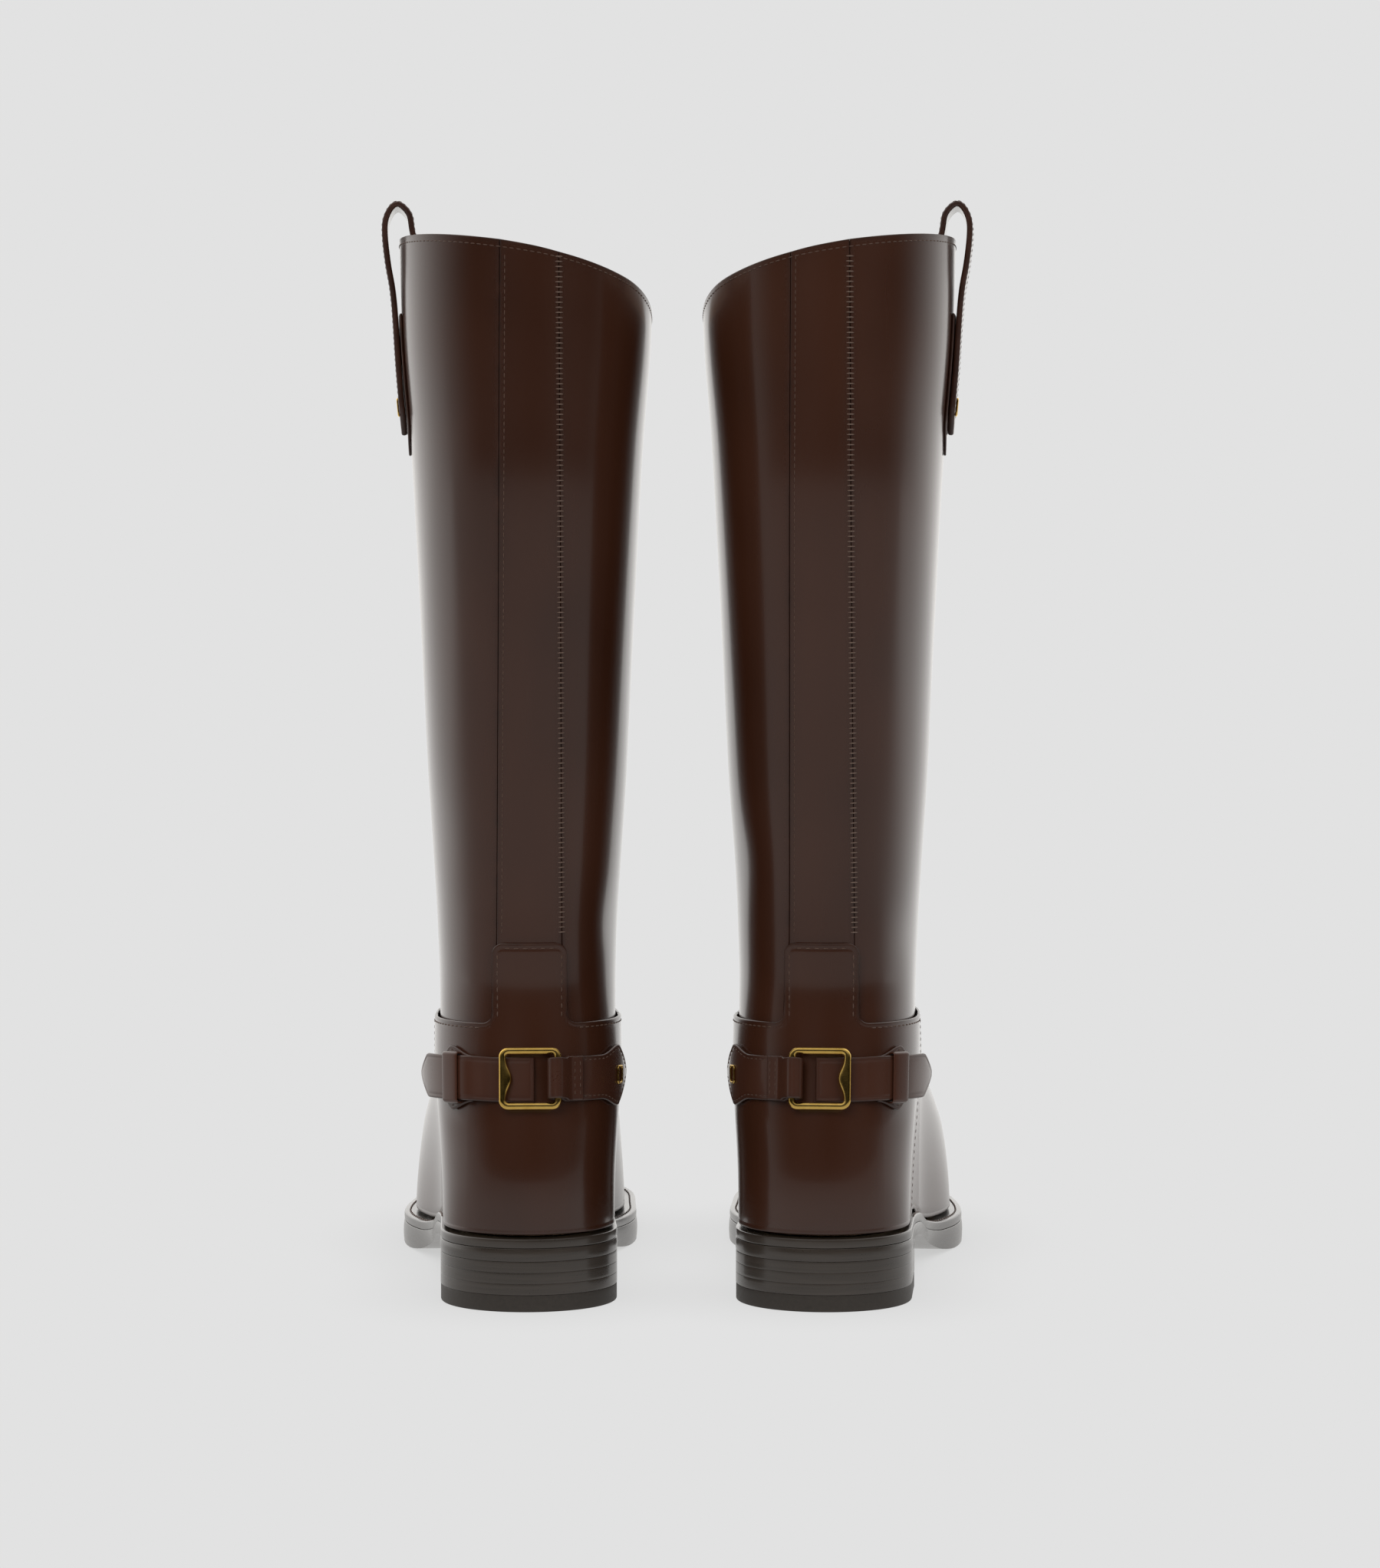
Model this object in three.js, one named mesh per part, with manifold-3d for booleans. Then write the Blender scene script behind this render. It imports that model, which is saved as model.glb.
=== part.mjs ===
// A pair of tall leather riding boots, each an assembly of separate pieces.
// Units are millimetres and +Z is up. The heels point to -Y and the toes to +Y. The origin is on the floor,
// at the middle of the pair. Each boot is drawn in a frame of its own: +X is its outer side, +Y its toe,
// and Y = 0 is the back of the heel. The left boot is the mirror image of the right one.
import * as THREE from "three";
import { ParametricGeometry } from "three/addons/geometries/ParametricGeometry.js";
import { mergeVertices } from "three/addons/utils/BufferGeometryUtils.js";
import Module from "manifold-3d";

const wasm = await Module();
wasm.setup();

// ---- driving dimensions -------------------------------------------------------------------------------

const CLEARANCE = 0.3; // between any two pieces that touch
const LAYER_GAP = 0.9; // between the layers of the upper, room for the cement and for flat facets
const BOOTS = [
  { side: "right", mirror: 1, toeOut: 5 },
  { side: "left", mirror: -1, toeOut: 3.3 },
];
const BOOT_SPACING = 110; // between the two boots' centre lines at the heel

// leather and lining
const LEATHER = 1.4; // shaft, back strip, stiffeners
const COVER = 1.4; // counter cover
const VAMP = 1.0;
const LINING = 0.9;

// heights above the floor
const ANKLE = 109; // top edge of the counter cover and the vamp
const SHAFT_LAP = 5; // how far the shaft runs down behind the counter cover
const TONGUE_TOP = 140; // top of the counter cover's tongue
const RIM_OUTER = 413.5;
const RIM_BACK = 405.5;
const RIM_INNER = 384;
const RIM_FRONT = 400;

// widths
const TONGUE_HALF = 13.5;
const STRIP_HALF_TOP = 11.2;
const STRIP_HALF_BOTTOM = 12.6;
const BALL_HALF = 43;
const HEEL_HALF = 31.3;
const FOOT_LENGTH = 275.5; // of the upper, at the sole

// sole and heel
const HEEL_SEAT = 24.2; // top of the outsole at the heel
const FORE_SEAT = 9.5; // top of the outsole under the ball of the foot
const HEEL_SEAT_THICK = 5; // outsole at the heel
const HEEL_BREAST = 64; // front face of the heel, from the back of the boot
const TOP_PIECE = 6.5;
const LIFTS = 3;
const WELT = 3.2;
const WELT_INNER = 8; // the welt's inner edge, inside the upper's outline
const INSOLE = 2.2;
const SOCK = 1.2;
const TOE_SPRING = 4.5;
const SCREW_R = 2;
const SCREW_Y = 30;
const SCREW_SIDES = 12;
const SHANK_WIDTH = 12;
const SHANK_THICK = 1.5;
const SHANK_SIDE = 2; // to the outer side of the heel's centre line
const SHANK_FROM = 42;
const SHANK_TO = 118;
const CORK_FROM = 128;

// ankle strap
const STRAP_Z = 87.5; // its centre line
const STRAP_HALF = 8.6;
const FOLD_HALF = 7.9; // where the strap folds round the hidden bar, between the frame's corners
const STRAP_THICK = 1.7;
const STRAP_GAP = 0.7; // between the strap and the counter cover
const ARROW_HALF = 12; // the strap ends in arrows on both sides: their corners, and places along the strap
const ARROW_TIP = 53;
const ARROW_CORNER = 40;
const ARROW_NECK = 28;
const POINT_HALF = 1.3; // half width of a strap's blunt point
const TAB_THICK = 1.4; // the outer arrow, which is a tab of its own
const TAB_HALF = 12.5;
const TAB_FROM = 21;
const TAB_TIP = 44;
const TAB_CORNER = 32;
const TAB_STAPLE = 38;
const BUCKLE_HALF = 10.6; // centre line of the frame's bars
const BUCKLE_CORNER = 2.4;
const BUCKLE_WIRE = 1.4;
const BAR_SLACK = 0.6; // round the hidden bar, inside the strap's fold
const BAR_LIFT = 0.5; // lifts the flat frame clear of the curved strap under its outer bar
const KEEPER_SLACK = 0.5; // between the keeper and the billet's edges
const KEEPER_AT = 27.5; // along the strap from the back centre line
const KEEPER_WIDTH = 6.6;
const KEEPER_THICK = 0.9;
const BILLET_END = 52;

// pull loop
const PULL_WIDTH = 20;
const PULL_THICK = 2.2;
const LOOP_TOP = 427.8; // centre line of the strap at the top of the loop
const LOOP_OUT = 8; // how far the loop stands out from the shaft
const PULL_END = 337;
const PATCH_END = 329;
const PATCH_TOP = 384;
const PATCH_THICK = 1.2;
const PATCH_MARGIN = 2; // beyond the strap's edges
const PATCH_POINT = 11; // length of the patch's pointed end
const PULL_POINT = 9; // length of the strap's pointed end
const PULL_STAPLE = 11; // above the strap's end
const PULL_INSIDE = 2.2; // room for the lining's curve across the strap's width
const STAPLE_WIRE = 0.8;

// ---- smooth profiles ----------------------------------------------------------------------------------

// A smooth curve through [x, value] pairs, with no overshoot between them.
function through(pairs) {
  const slope = pairs.slice(1).map(([x, v], i) => (v - pairs[i][1]) / (x - pairs[i][0]));
  const tangent = pairs.map((pair, i) => {
    if (i === 0) return slope[0];
    if (i === pairs.length - 1) return slope[i - 1];
    const [before, after] = [slope[i - 1], slope[i]];
    return before * after <= 0 ? 0 : (2 * before * after) / (before + after);
  });
  return (x) => {
    if (x <= pairs[0][0]) return pairs[0][1] + tangent[0] * (x - pairs[0][0]);
    const last = pairs.length - 1;
    if (x >= pairs[last][0]) return pairs[last][1] + tangent[last] * (x - pairs[last][0]);
    const i = pairs.findIndex((pair, k) => k < last && x < pairs[k + 1][0]);
    const width = pairs[i + 1][0] - pairs[i][0];
    const q = (x - pairs[i][0]) / width;
    const [a, b] = [pairs[i][1], pairs[i + 1][1]];
    const [ta, tb] = [tangent[i] * width, tangent[i + 1] * width];
    return (
      a * (1 + 2 * q) * (1 - q) ** 2 + b * q * q * (3 - 2 * q) + ta * q * (1 - q) ** 2 - tb * q * q * (1 - q)
    );
  };
}
const mix = (a, b, q) => a + (b - a) * q;
const smooth = (q) => THREE.MathUtils.smoothstep(q, 0, 1);

// ---- the boot's surface -------------------------------------------------------------------------------
// The outer face of the shaft leather, carried down over the foot. A point is given by its level and its
// angle. Level 0 is the edge at the sole, level 1 is the ankle seam, and above 1 the level rises one for
// each 100 mm of height. The angle is 0 at the back, 90 degrees on the outer side and 180 at the front.

// Pieces that lie on each other share these angles and levels, so that their flat facets run parallel.
const COLUMNS = 28;
const FOOT_LEVELS = [0.12, 0.26, 0.42, 0.6, 0.8];
const SHAFT_LEVELS = [1, 1.12, 1.35, 1.9, 3];
const SHAFT_STEP = 100; // height for one level of the shaft
const END_POWER = 2.3; // how full the rounded ends of a level are
const UPPER_OFF = 0.8; // the cover and vamp lie this far off the surface
const UPPER_FACE = UPPER_OFF + COVER;
const STRAP_OFF = UPPER_FACE + STRAP_GAP; // the strap's underside, off the surface
const SOLE_GAP = 0.5; // between the outsole and the welt
const seatRise = SOLE_GAP + WELT + CLEARANCE; // from the outsole's top to the upper's edge

// Height of the outsole's top face along the boot.
const seat = through([
  [-10, HEEL_SEAT],
  [HEEL_BREAST, HEEL_SEAT],
  [88, mix(FORE_SEAT, HEEL_SEAT, 0.88)],
  [122, mix(FORE_SEAT, HEEL_SEAT, 0.34)],
  [150, mix(FORE_SEAT, HEEL_SEAT, 0.05)],
  [172, FORE_SEAT],
  [226, FORE_SEAT],
  [255, FORE_SEAT + TOE_SPRING * 0.26],
  [292, FORE_SEAT + TOE_SPRING],
]);
const outsoleThick = through([
  [-10, HEEL_SEAT_THICK],
  [HEEL_BREAST, HEEL_SEAT_THICK],
  [110, HEEL_SEAT_THICK],
  [172, FORE_SEAT],
  [292, FORE_SEAT],
]);
// Where each level's back and front points lie, front to back.
const backOfLevel = through([
  [0, 2.5],
  [0.2, 0.6],
  [0.52, 3.5],
  [0.76, 8],
  [1, 11.8],
  [1.16, 13.2],
  [1.4, 13],
  [1.95, 8],
  [2.6, 2],
  [3.2, -1],
  [4.2, -1],
]);
const frontOfLevel = through([
  [0, 2.5 + FOOT_LENGTH],
  [0.12, 281],
  [0.25, 277],
  [0.38, 262],
  [0.52, 236],
  [0.66, 205],
  [0.82, 169],
  [1, 134],
  [1.12, 123],
  [1.4, 118],
  [1.95, 118],
  [2.6, 121],
  [3.2, 124],
  [4.2, 129],
]);
// Height of a level's front point, as a share of the way from the sole to the ankle seam.
const frontRise = through([
  [0, 0],
  [0.12, 0.12],
  [0.25, 0.27],
  [0.38, 0.4],
  [0.52, 0.5],
  [0.66, 0.595],
  [0.82, 0.745],
  [1, 1],
]);
const shaftHalf = through([
  [0, HEEL_HALF],
  [0.2, 33.3],
  [0.55, 34.6],
  [0.8, 34.8],
  [1, 34.5],
  [1.1, 34.6],
  [1.37, 35.6],
  [1.64, 37.2],
  [1.96, 39.2],
  [2.28, 40.7],
  [2.59, 42.2],
  [2.91, 43.8],
  [3.23, 45.6],
  [3.68, 49],
  [4.2, 50.5],
]);
// The foot's half width along its length at the sole, and how far its centre line swings to the outer side.
const footHalf = through([
  [0, HEEL_HALF],
  [0.2, HEEL_HALF],
  [0.42, 30],
  [0.68, BALL_HALF],
  [0.84, 41],
  [1, 36],
]);
const footSwing = through([
  [0, 0],
  [0.2, 0],
  [0.45, 2.5],
  [0.7, 1],
  [0.88, -3],
  [1, -5],
]);
const backEnd = through([
  [0, 0.125],
  [0.5, 0.17],
  [0.8, 0.26],
  [1, 0.36],
  [1.2, 0.46],
  [1.5, 0.5],
  [4.2, 0.5],
]);
const frontEnd = through([
  [0, 0.2],
  [0.25, 0.24],
  [0.52, 0.42],
  [0.82, 0.6],
  [1, 0.58],
  [1.2, 0.52],
  [1.5, 0.5],
  [4.2, 0.5],
]);

// The height of a point of the surface at a level and a share of the way from back to front.
function heightAt(level, along) {
  if (level >= 1) return ANKLE + (level - 1) * SHAFT_STEP;
  const base = seat(backOfLevel(0) + FOOT_LENGTH * along) + seatRise;
  const forward = smooth((along - 0.45) / 0.55);
  return base + (ANKLE - base) * mix(level, frontRise(level), forward);
}
function levelOfHeight(z, angle) {
  if (z >= ANKLE) return 1 + (z - ANKLE) / SHAFT_STEP;
  const along = (1 - Math.cos(angle)) / 2;
  const base = seat(backOfLevel(0) + FOOT_LENGTH * along) + seatRise;
  return (z - base) / (ANKLE - base);
}
const roundEnd = (q) => (q >= 1 ? 1 : Math.sqrt(1 - (1 - q) ** END_POWER));
function surface(level, angle) {
  const along = (1 - Math.cos(angle)) / 2;
  const foot = 1 - smooth(Math.max(level, 0));
  const half = mix(shaftHalf(level), footHalf(along), foot);
  const ends = roundEnd(along / backEnd(level)) * roundEnd((1 - along) / frontEnd(level));
  const x = half * ends * Math.sign(Math.sin(angle)) + footSwing(along) * foot;
  const y = mix(backOfLevel(level), frontOfLevel(level), along);
  return new THREE.Vector3(x, y, heightAt(level, along));
}
// The surface's outward normal, from two short steps along it.
function normal(level, angle) {
  const step = 0.004;
  const up = surface(level + step, angle).sub(surface(level - step, angle));
  const round = surface(level, angle + step).sub(surface(level, angle - step));
  return round.cross(up).normalize();
}
// A point off the surface. Beside the sole the offset is level, so that the layers end at one height.
function onSurface(level, angle, off) {
  const out = normal(level, angle);
  out.z *= smooth(level / FOOT_LEVELS[0]);
  return surface(level, angle).addScaledVector(out.normalize(), off);
}

// Height of the shaft's rim round the boot: high on the outer side, cut away towards the inner side.
const rim = through([
  [-360 + 90, RIM_OUTER],
  [-180, RIM_FRONT],
  [-112, RIM_INNER - 2],
  [-90, RIM_INNER],
  [-48, mix(RIM_BACK, RIM_INNER, 0.48)],
  [0, RIM_BACK],
  [60, RIM_OUTER - 1.2],
  [90, RIM_OUTER],
  [180, RIM_FRONT],
]);
function rimAt(angle) {
  const degrees = angle * THREE.MathUtils.RAD2DEG;
  return rim(THREE.MathUtils.euclideanModulo(degrees + 180, 360) - 180);
}

// The angle at which a level lies a given distance across from the centre line.
function angleAcross(level, across) {
  let [low, high] = [0, Math.PI / 2];
  for (let i = 0; i < 30; i++) {
    const middle = (low + high) / 2;
    if (surface(level, middle).x < across) low = middle;
    else high = middle;
  }
  return low;
}

// ---- making closed pieces -----------------------------------------------------------------------------

// Joins a skin's seams and turns its faces outwards.
function closed(geometry) {
  geometry.deleteAttribute("normal");
  geometry.deleteAttribute("uv");
  const merged = mergeVertices(geometry, 1e-3);
  const place = merged.attributes.position;
  const corners = merged.index.array;
  const kept = [];
  let volume = 0;
  const [a, b, c] = [new THREE.Vector3(), new THREE.Vector3(), new THREE.Vector3()];
  for (let i = 0; i < corners.length; i += 3) {
    const [i0, i1, i2] = corners.slice(i, i + 3);
    if (i0 === i1 || i1 === i2 || i2 === i0) continue;
    kept.push(i0, i1, i2);
    a.fromBufferAttribute(place, i0);
    b.fromBufferAttribute(place, i1);
    c.fromBufferAttribute(place, i2);
    volume += a.dot(b.cross(c));
  }
  if (volume < 0) kept.reverse();
  merged.setIndex(kept);
  return merged;
}

// Turns the diagonals of the quads that are chosen by row and column, so that the two faces of a thin
// piece are split the same way and lie parallel.
function turnDiagonals(geometry, slices, chosen) {
  const corners = geometry.index.array;
  for (let i = 0; i < corners.length; i += 6) {
    const quad = i / 6;
    if (!chosen(Math.floor(quad / slices), quad % slices)) continue;
    const [a, b, d] = corners.slice(i, i + 3);
    const c = corners[i + 4];
    corners.set([a, b, c, a, c, d], i);
  }
  return geometry;
}

// A sheet of even thickness about a middle surface. The middle is a function of the share along and the
// share across, and both faces are offset from it along its own normal.
function sheet(middle, thickness, columns, rows) {
  const step = 1e-3;
  const place = (s, r, off) => {
    const along = middle(s + step, r).sub(middle(s - step, r));
    const across = middle(s, r + step).sub(middle(s, r - step));
    return middle(s, r).addScaledVector(along.cross(across).normalize(), off);
  };
  const round = 2 * columns + 2;
  const geometry = new ParametricGeometry(
    (u, v, target) => {
      const row = Math.round(v * (rows + 2));
      const stop = Math.round(u * round) % round;
      const front = stop <= columns;
      const s = front ? stop / columns : (round - 1 - stop) / columns;
      const r = THREE.MathUtils.clamp((row - 1) / rows, 0, 1);
      const flat = row === 0 || row === rows + 2;
      target.copy(place(s, r, flat ? 0 : (front ? 0.5 : -0.5) * thickness));
    },
    round,
    rows + 2,
  );
  return closed(turnDiagonals(geometry, round, (row, column) => column > columns));
}

function angleStops(from, to) {
  const step = (2 * Math.PI) / COLUMNS;
  const stops = [from];
  for (let i = Math.ceil(from / step + 0.15); i * step < to - 0.15 * step; i++) stops.push(i * step);
  return [...stops, to];
}
// Linear interpolation in a list of stops by the share of the list.
function atShare(stops, share) {
  const last = stops.length - 1;
  const i = THREE.MathUtils.clamp(Math.floor(share * last), 0, last - 1);
  return mix(stops[i], stops[i + 1], share * last - i);
}

// A panel of the upper, between two offsets from the boot's surface. Its levels are a list, whose last
// one may be a function of the angle. Its side edges are two functions of the level.
function panel({ edges, levels, off }) {
  const SQUEEZE = 0.05; // the least angle between columns beside a slanting edge
  const FEW_COLUMNS = 7;
  const guide = angleStops(Math.min(edges[0](0), edges[0](1)), Math.max(edges[1](0), edges[1](1)));
  const last = guide.length - 1;
  const levelsAt = (angle) => levels.map((value) => (typeof value === "function" ? value(angle) : value));
  const level = (r, angle) => atShare(levelsAt(angle), r);
  const middle = (s, r) => {
    const wanted = atShare(guide, s);
    const at = level(r, wanted);
    const [from, to] = [edges[0](at), edges[1](at)];
    const held = THREE.MathUtils.clamp(wanted, from + SQUEEZE * s * last, to - SQUEEZE * (1 - s) * last);
    const angle = last < FEW_COLUMNS ? mix(from, to, s) : held;
    return onSurface(level(r, angle), angle, (off[0] + off[1]) / 2);
  };
  return sheet(middle, off[1] - off[0], last, levels.length - 1);
}

// A band that closes on itself round the boot, such as a lining.
function band({ levels, off }) {
  const corners = levels.map((level) => [level, off[1]]);
  corners.push(...levels.map((level) => [level, off[0]]).reverse());
  const geometry = new ParametricGeometry(
    (u, v, target) => {
      const angle = (Math.round(u * COLUMNS) % COLUMNS) * ((2 * Math.PI) / COLUMNS);
      const [level, out] = corners[Math.round(v * corners.length) % corners.length];
      target.copy(onSurface(typeof level === "function" ? level(angle) : level, angle, out));
    },
    COLUMNS,
    corners.length,
  );
  return closed(turnDiagonals(geometry, COLUMNS, (row) => row >= levels.length));
}

// ---- the bottom of the boot ---------------------------------------------------------------------------

// A point of the sole's plan, a distance outside the upper's surface at the sole.
function outline(angle, out) {
  const step = 0.01;
  const point = surface(0, angle);
  const along = surface(0, angle + step).sub(surface(0, angle - step));
  point.x += (along.y / Math.hypot(along.x, along.y)) * out;
  point.y -= (along.x / Math.hypot(along.x, along.y)) * out;
  return point;
}
// How far the welt and outsole stand out past the upper's outer face.
const weltOut = through([
  [0, 0.9],
  [0.2, 0.9],
  [0.34, 2.4],
  [0.5, 4],
  [0.7, 4.6],
  [1, 4.6],
]);
const weltEdge = (angle) => UPPER_FACE + weltOut((1 - Math.cos(angle)) / 2);
function angleAlong(y) {
  let [low, high] = [0, Math.PI];
  for (let i = 0; i < 30; i++) {
    const middle = (low + high) / 2;
    if (outline(middle, 0).y < y) low = middle;
    else high = middle;
  }
  return low;
}

// A plate that follows the sole's plan from one place along the boot to another. Its section is a list of
// corners from the top edge to the bottom edge, each a distance out and a height.
function plate({ from = 0, to = Math.PI, extra = [], section }) {
  const corners = section.length;
  const round = 2 * corners;
  const [cutBack, cutFront] = [from > 0 ? 1 : 0, to < Math.PI ? 1 : 0];
  const stops = [...angleStops(from, to), ...extra].sort((a, b) => a - b);
  const rows = stops.length - 1 + cutBack + cutFront;
  const geometry = new ParametricGeometry(
    (u, v, target) => {
      const row = Math.round(v * rows) - cutBack;
      const angle = stops[THREE.MathUtils.clamp(row, 0, stops.length - 1)];
      const stop = Math.round(u * round) % round;
      const [right, corner] = stop < corners ? [1, stop] : [-1, round - 1 - stop];
      const [out, height] = section[corner];
      const point = outline(right * angle, typeof out === "function" ? out(angle) : out);
      const heights = section.map(([, z]) => z(point.y));
      const flat = row < 0 || row > stops.length - 1;
      point.z = flat ? (Math.max(...heights) + Math.min(...heights)) / 2 : height(point.y);
      target.copy(point);
    },
    round,
    rows,
  );
  return closed(geometry);
}

// ---- solids cut and joined ----------------------------------------------------------------------------

function solid(geometry) {
  const plain = geometry.index ? geometry.clone() : mergeVertices(geometry.clone(), 1e-4);
  const shut = closed(plain.toNonIndexed());
  return new wasm.Manifold(
    new wasm.Mesh({
      numProp: 3,
      vertProperties: shut.attributes.position.array,
      triVerts: new Uint32Array(shut.index.array),
    }),
  );
}
function geometryOf(made) {
  const mesh = made.getMesh();
  const geometry = new THREE.BufferGeometry();
  geometry.setAttribute("position", new THREE.BufferAttribute(mesh.vertProperties, 3));
  geometry.setIndex(new THREE.BufferAttribute(mesh.triVerts, 1));
  return geometry;
}
const cut = (geometry, tool) => geometryOf(solid(geometry).subtract(solid(tool)));

// ---- finishes -----------------------------------------------------------------------------------------

const finish = (color, roughness, metalness = 0) => ({ color, roughness, metalness });
const OUTER_LEATHER = finish(0x3c2821, 0.28);
const STRAP_LEATHER = finish(0x432b23, 0.32);
const LINING_LEATHER = finish(0x9c7a58, 0.7);
const STIFFENER = finish(0xb59f80, 0.85);
const BRASS = finish(0xc8a53c, 0.25, 1);
const STEEL = finish(0x8c8f92, 0.35, 1);
const SOLE = finish(0x3a332d, 0.5);
const CORK = finish(0xa9855a, 0.9);
const RUBBER = finish(0x24211f, 0.8);

// ---- one boot -----------------------------------------------------------------------------------------

const shaftOff = [-LEATHER, 0];
const stiffenerOff = [-LEATHER + 0.2, -CLEARANCE];
const liningOff = [-LEATHER - LAYER_GAP - LINING, -LEATHER - LAYER_GAP];
const LEVEL_ANKLE = 1;
const LASTED_EDGE = 0.014; // lower edge of the upper, just above the welt
const SEAM_GAP = 0.4; // between the edges of panels that meet side by side

// The half width of the back strip at a level, and the angle of its seam.
const STRIP_TAPER = [1.3, 4]; // levels between which the strip narrows
function stripHalf(level) {
  const share = (level - STRIP_TAPER[0]) / (STRIP_TAPER[1] - STRIP_TAPER[0]);
  return mix(STRIP_HALF_BOTTOM, STRIP_HALF_TOP, THREE.MathUtils.clamp(share, 0, 1));
}
const seamAngle = (level, extra) => angleAcross(level, stripHalf(level) + extra);

const rimLevel = (angle) => levelOfHeight(rimAt(angle), angle);
const shaftFoot = levelOfHeight(ANKLE - SHAFT_LAP, 0);
const shaftLevels = [shaftFoot, ...SHAFT_LEVELS, rimLevel];

function shaftPanel() {
  const edges = [
    (level) => seamAngle(level, SEAM_GAP / 2),
    (level) => 2 * Math.PI - seamAngle(level, SEAM_GAP / 2),
  ];
  return panel({ edges, levels: shaftLevels, off: shaftOff });
}
function backStrip() {
  const edges = [
    (level) => -seamAngle(level, -SEAM_GAP / 2),
    (level) => seamAngle(level, -SEAM_GAP / 2),
  ];
  return panel({ edges, levels: shaftLevels, off: shaftOff });
}
function shaftLining() {
  const levels = [1.004, ...SHAFT_LEVELS.slice(1), (angle) => rimLevel(angle) - 0.008];
  return band({ levels, off: liningOff });
}

// The seam between counter cover and vamp: nearer the toe at the ankle than at the sole.
const coverEdge = (level) => Math.acos(1 - 2 * mix(0.215, 0.4, THREE.MathUtils.clamp(level, 0, 1)));
// The counter cover's top edge: the ankle seam with a round-cornered tongue in the middle.
const TONGUE_CORNER = 4;
const TONGUE_FILLET = 4;
function coverTop(across) {
  const q = Math.abs(across);
  const full = TONGUE_HALF - TONGUE_CORNER;
  if (q < full) return TONGUE_TOP;
  if (q < TONGUE_HALF) {
    const drop = TONGUE_CORNER - Math.sqrt(TONGUE_CORNER ** 2 - (q - full) ** 2);
    return TONGUE_TOP - drop;
  }
  const past = TONGUE_HALF + TONGUE_FILLET - q;
  if (past <= 0) return ANKLE;
  return ANKLE + TONGUE_FILLET - Math.sqrt(TONGUE_FILLET ** 2 - past ** 2);
}
// Columns of the counter cover: close together round the tongue, and at the shared angles beside it.
function coverColumns() {
  const full = TONGUE_HALF - TONGUE_CORNER;
  const corner = [0.3, 0.78, 1].map((share) => full + TONGUE_CORNER * share);
  const fillet = [0.2, 1].map((share) => TONGUE_HALF + TONGUE_FILLET * share);
  const half = [0, full * 0.7, ...corner, ...fillet];
  const list = half.map((across) => [angleAcross(LEVEL_ANKLE, across), coverTop(across)]);
  const [start] = list[list.length - 1];
  const beside = angleStops(start, coverEdge(LEVEL_ANKLE)).slice(1);
  list.push(...beside.map((angle) => [angle, ANKLE]));
  return [...list.slice(1).reverse().map(([angle, top]) => [-angle, top]), ...list];
}
const COVER_SQUEEZE = 0.12; // the share of their spacing that columns keep beside the slanting edge
function counterCover() {
  const columns = coverColumns();
  const last = columns.length - 1;
  const angles = columns.map(([angle]) => angle);
  const tops = columns.map(([, top]) => levelOfHeight(top, 0));
  const rows = [LASTED_EDGE, ...FOOT_LEVELS, LEVEL_ANKLE];
  const full = coverEdge(LEVEL_ANKLE);
  const middle = (s, r) => {
    const angle = atShare(angles, s);
    const level = atShare([...rows.slice(0, -1), atShare(tops, s)], r);
    const edge = coverEdge(level);
    const left = (full - Math.abs(angle)) * COVER_SQUEEZE;
    const held = Math.abs(angle) > edge - left ? Math.sign(angle) * (edge - left) : angle;
    return onSurface(level, held, UPPER_OFF + COVER / 2);
  };
  return sheet(middle, COVER, last, rows.length - 1);
}
function vamp() {
  const gap = SEAM_GAP / shaftHalf(LEVEL_ANKLE); // as an angle
  const edges = [(level) => coverEdge(level) + gap, (level) => 2 * Math.PI - coverEdge(level) - gap];
  const levels = [LASTED_EDGE, ...FOOT_LEVELS, shaftFoot, LEVEL_ANKLE];
  return panel({ edges, levels, off: [UPPER_OFF, UPPER_OFF + VAMP] });
}
const STIFF_REACH = (2 * Math.PI * 4) / COLUMNS; // a whole number of the shared angles
function counterStiffener() {
  const edges = [() => -STIFF_REACH, () => STIFF_REACH];
  const levels = [LASTED_EDGE, ...FOOT_LEVELS];
  return panel({ edges, levels, off: stiffenerOff });
}
function toePuff() {
  const edges = [() => Math.PI - STIFF_REACH, () => Math.PI + STIFF_REACH];
  return panel({ edges, levels: [LASTED_EDGE, ...FOOT_LEVELS.slice(0, 3)], off: shaftOff });
}
function footLining() {
  return band({ levels: [LASTED_EDGE, ...FOOT_LEVELS, shaftFoot, 0.996], off: liningOff });
}

// Bottom pieces. Each height is a function of the place along the boot.
const weltLow = (y) => seat(y) + SOLE_GAP;
const weltHigh = (y) => weltLow(y) + WELT;
const insoleLow = (y) => seat(y) + seatRise;
const insoleHigh = (y) => insoleLow(y) + INSOLE;
const sockLow = (y) => insoleHigh(y) + CLEARANCE;
const sockHigh = (y) => sockLow(y) + SOCK;
const insideOut = liningOff[0] - CLEARANCE - 0.4; // edge of what lies inside the lining

const screwTool = () => {
  const tool = new THREE.CylinderGeometry(SCREW_R + CLEARANCE, SCREW_R + CLEARANCE, 2 * ANKLE, SCREW_SIDES);
  return tool.rotateX(Math.PI / 2).translate(0, SCREW_Y, ANKLE);
};
function insoleBoard() {
  const section = [
    [insideOut, insoleHigh],
    [insideOut, insoleLow],
  ];
  return cut(plate({ section }), screwTool());
}
function sockLiner() {
  const section = [
    [insideOut, sockHigh],
    [insideOut, sockLow],
  ];
  return plate({ section });
}
function corkFiller() {
  const section = [
    [-WELT_INNER - CLEARANCE, (y) => weltHigh(y) - CLEARANCE],
    [-WELT_INNER - CLEARANCE, (y) => weltLow(y) + CLEARANCE],
  ];
  return plate({ from: angleAlong(CORK_FROM), section });
}
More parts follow.
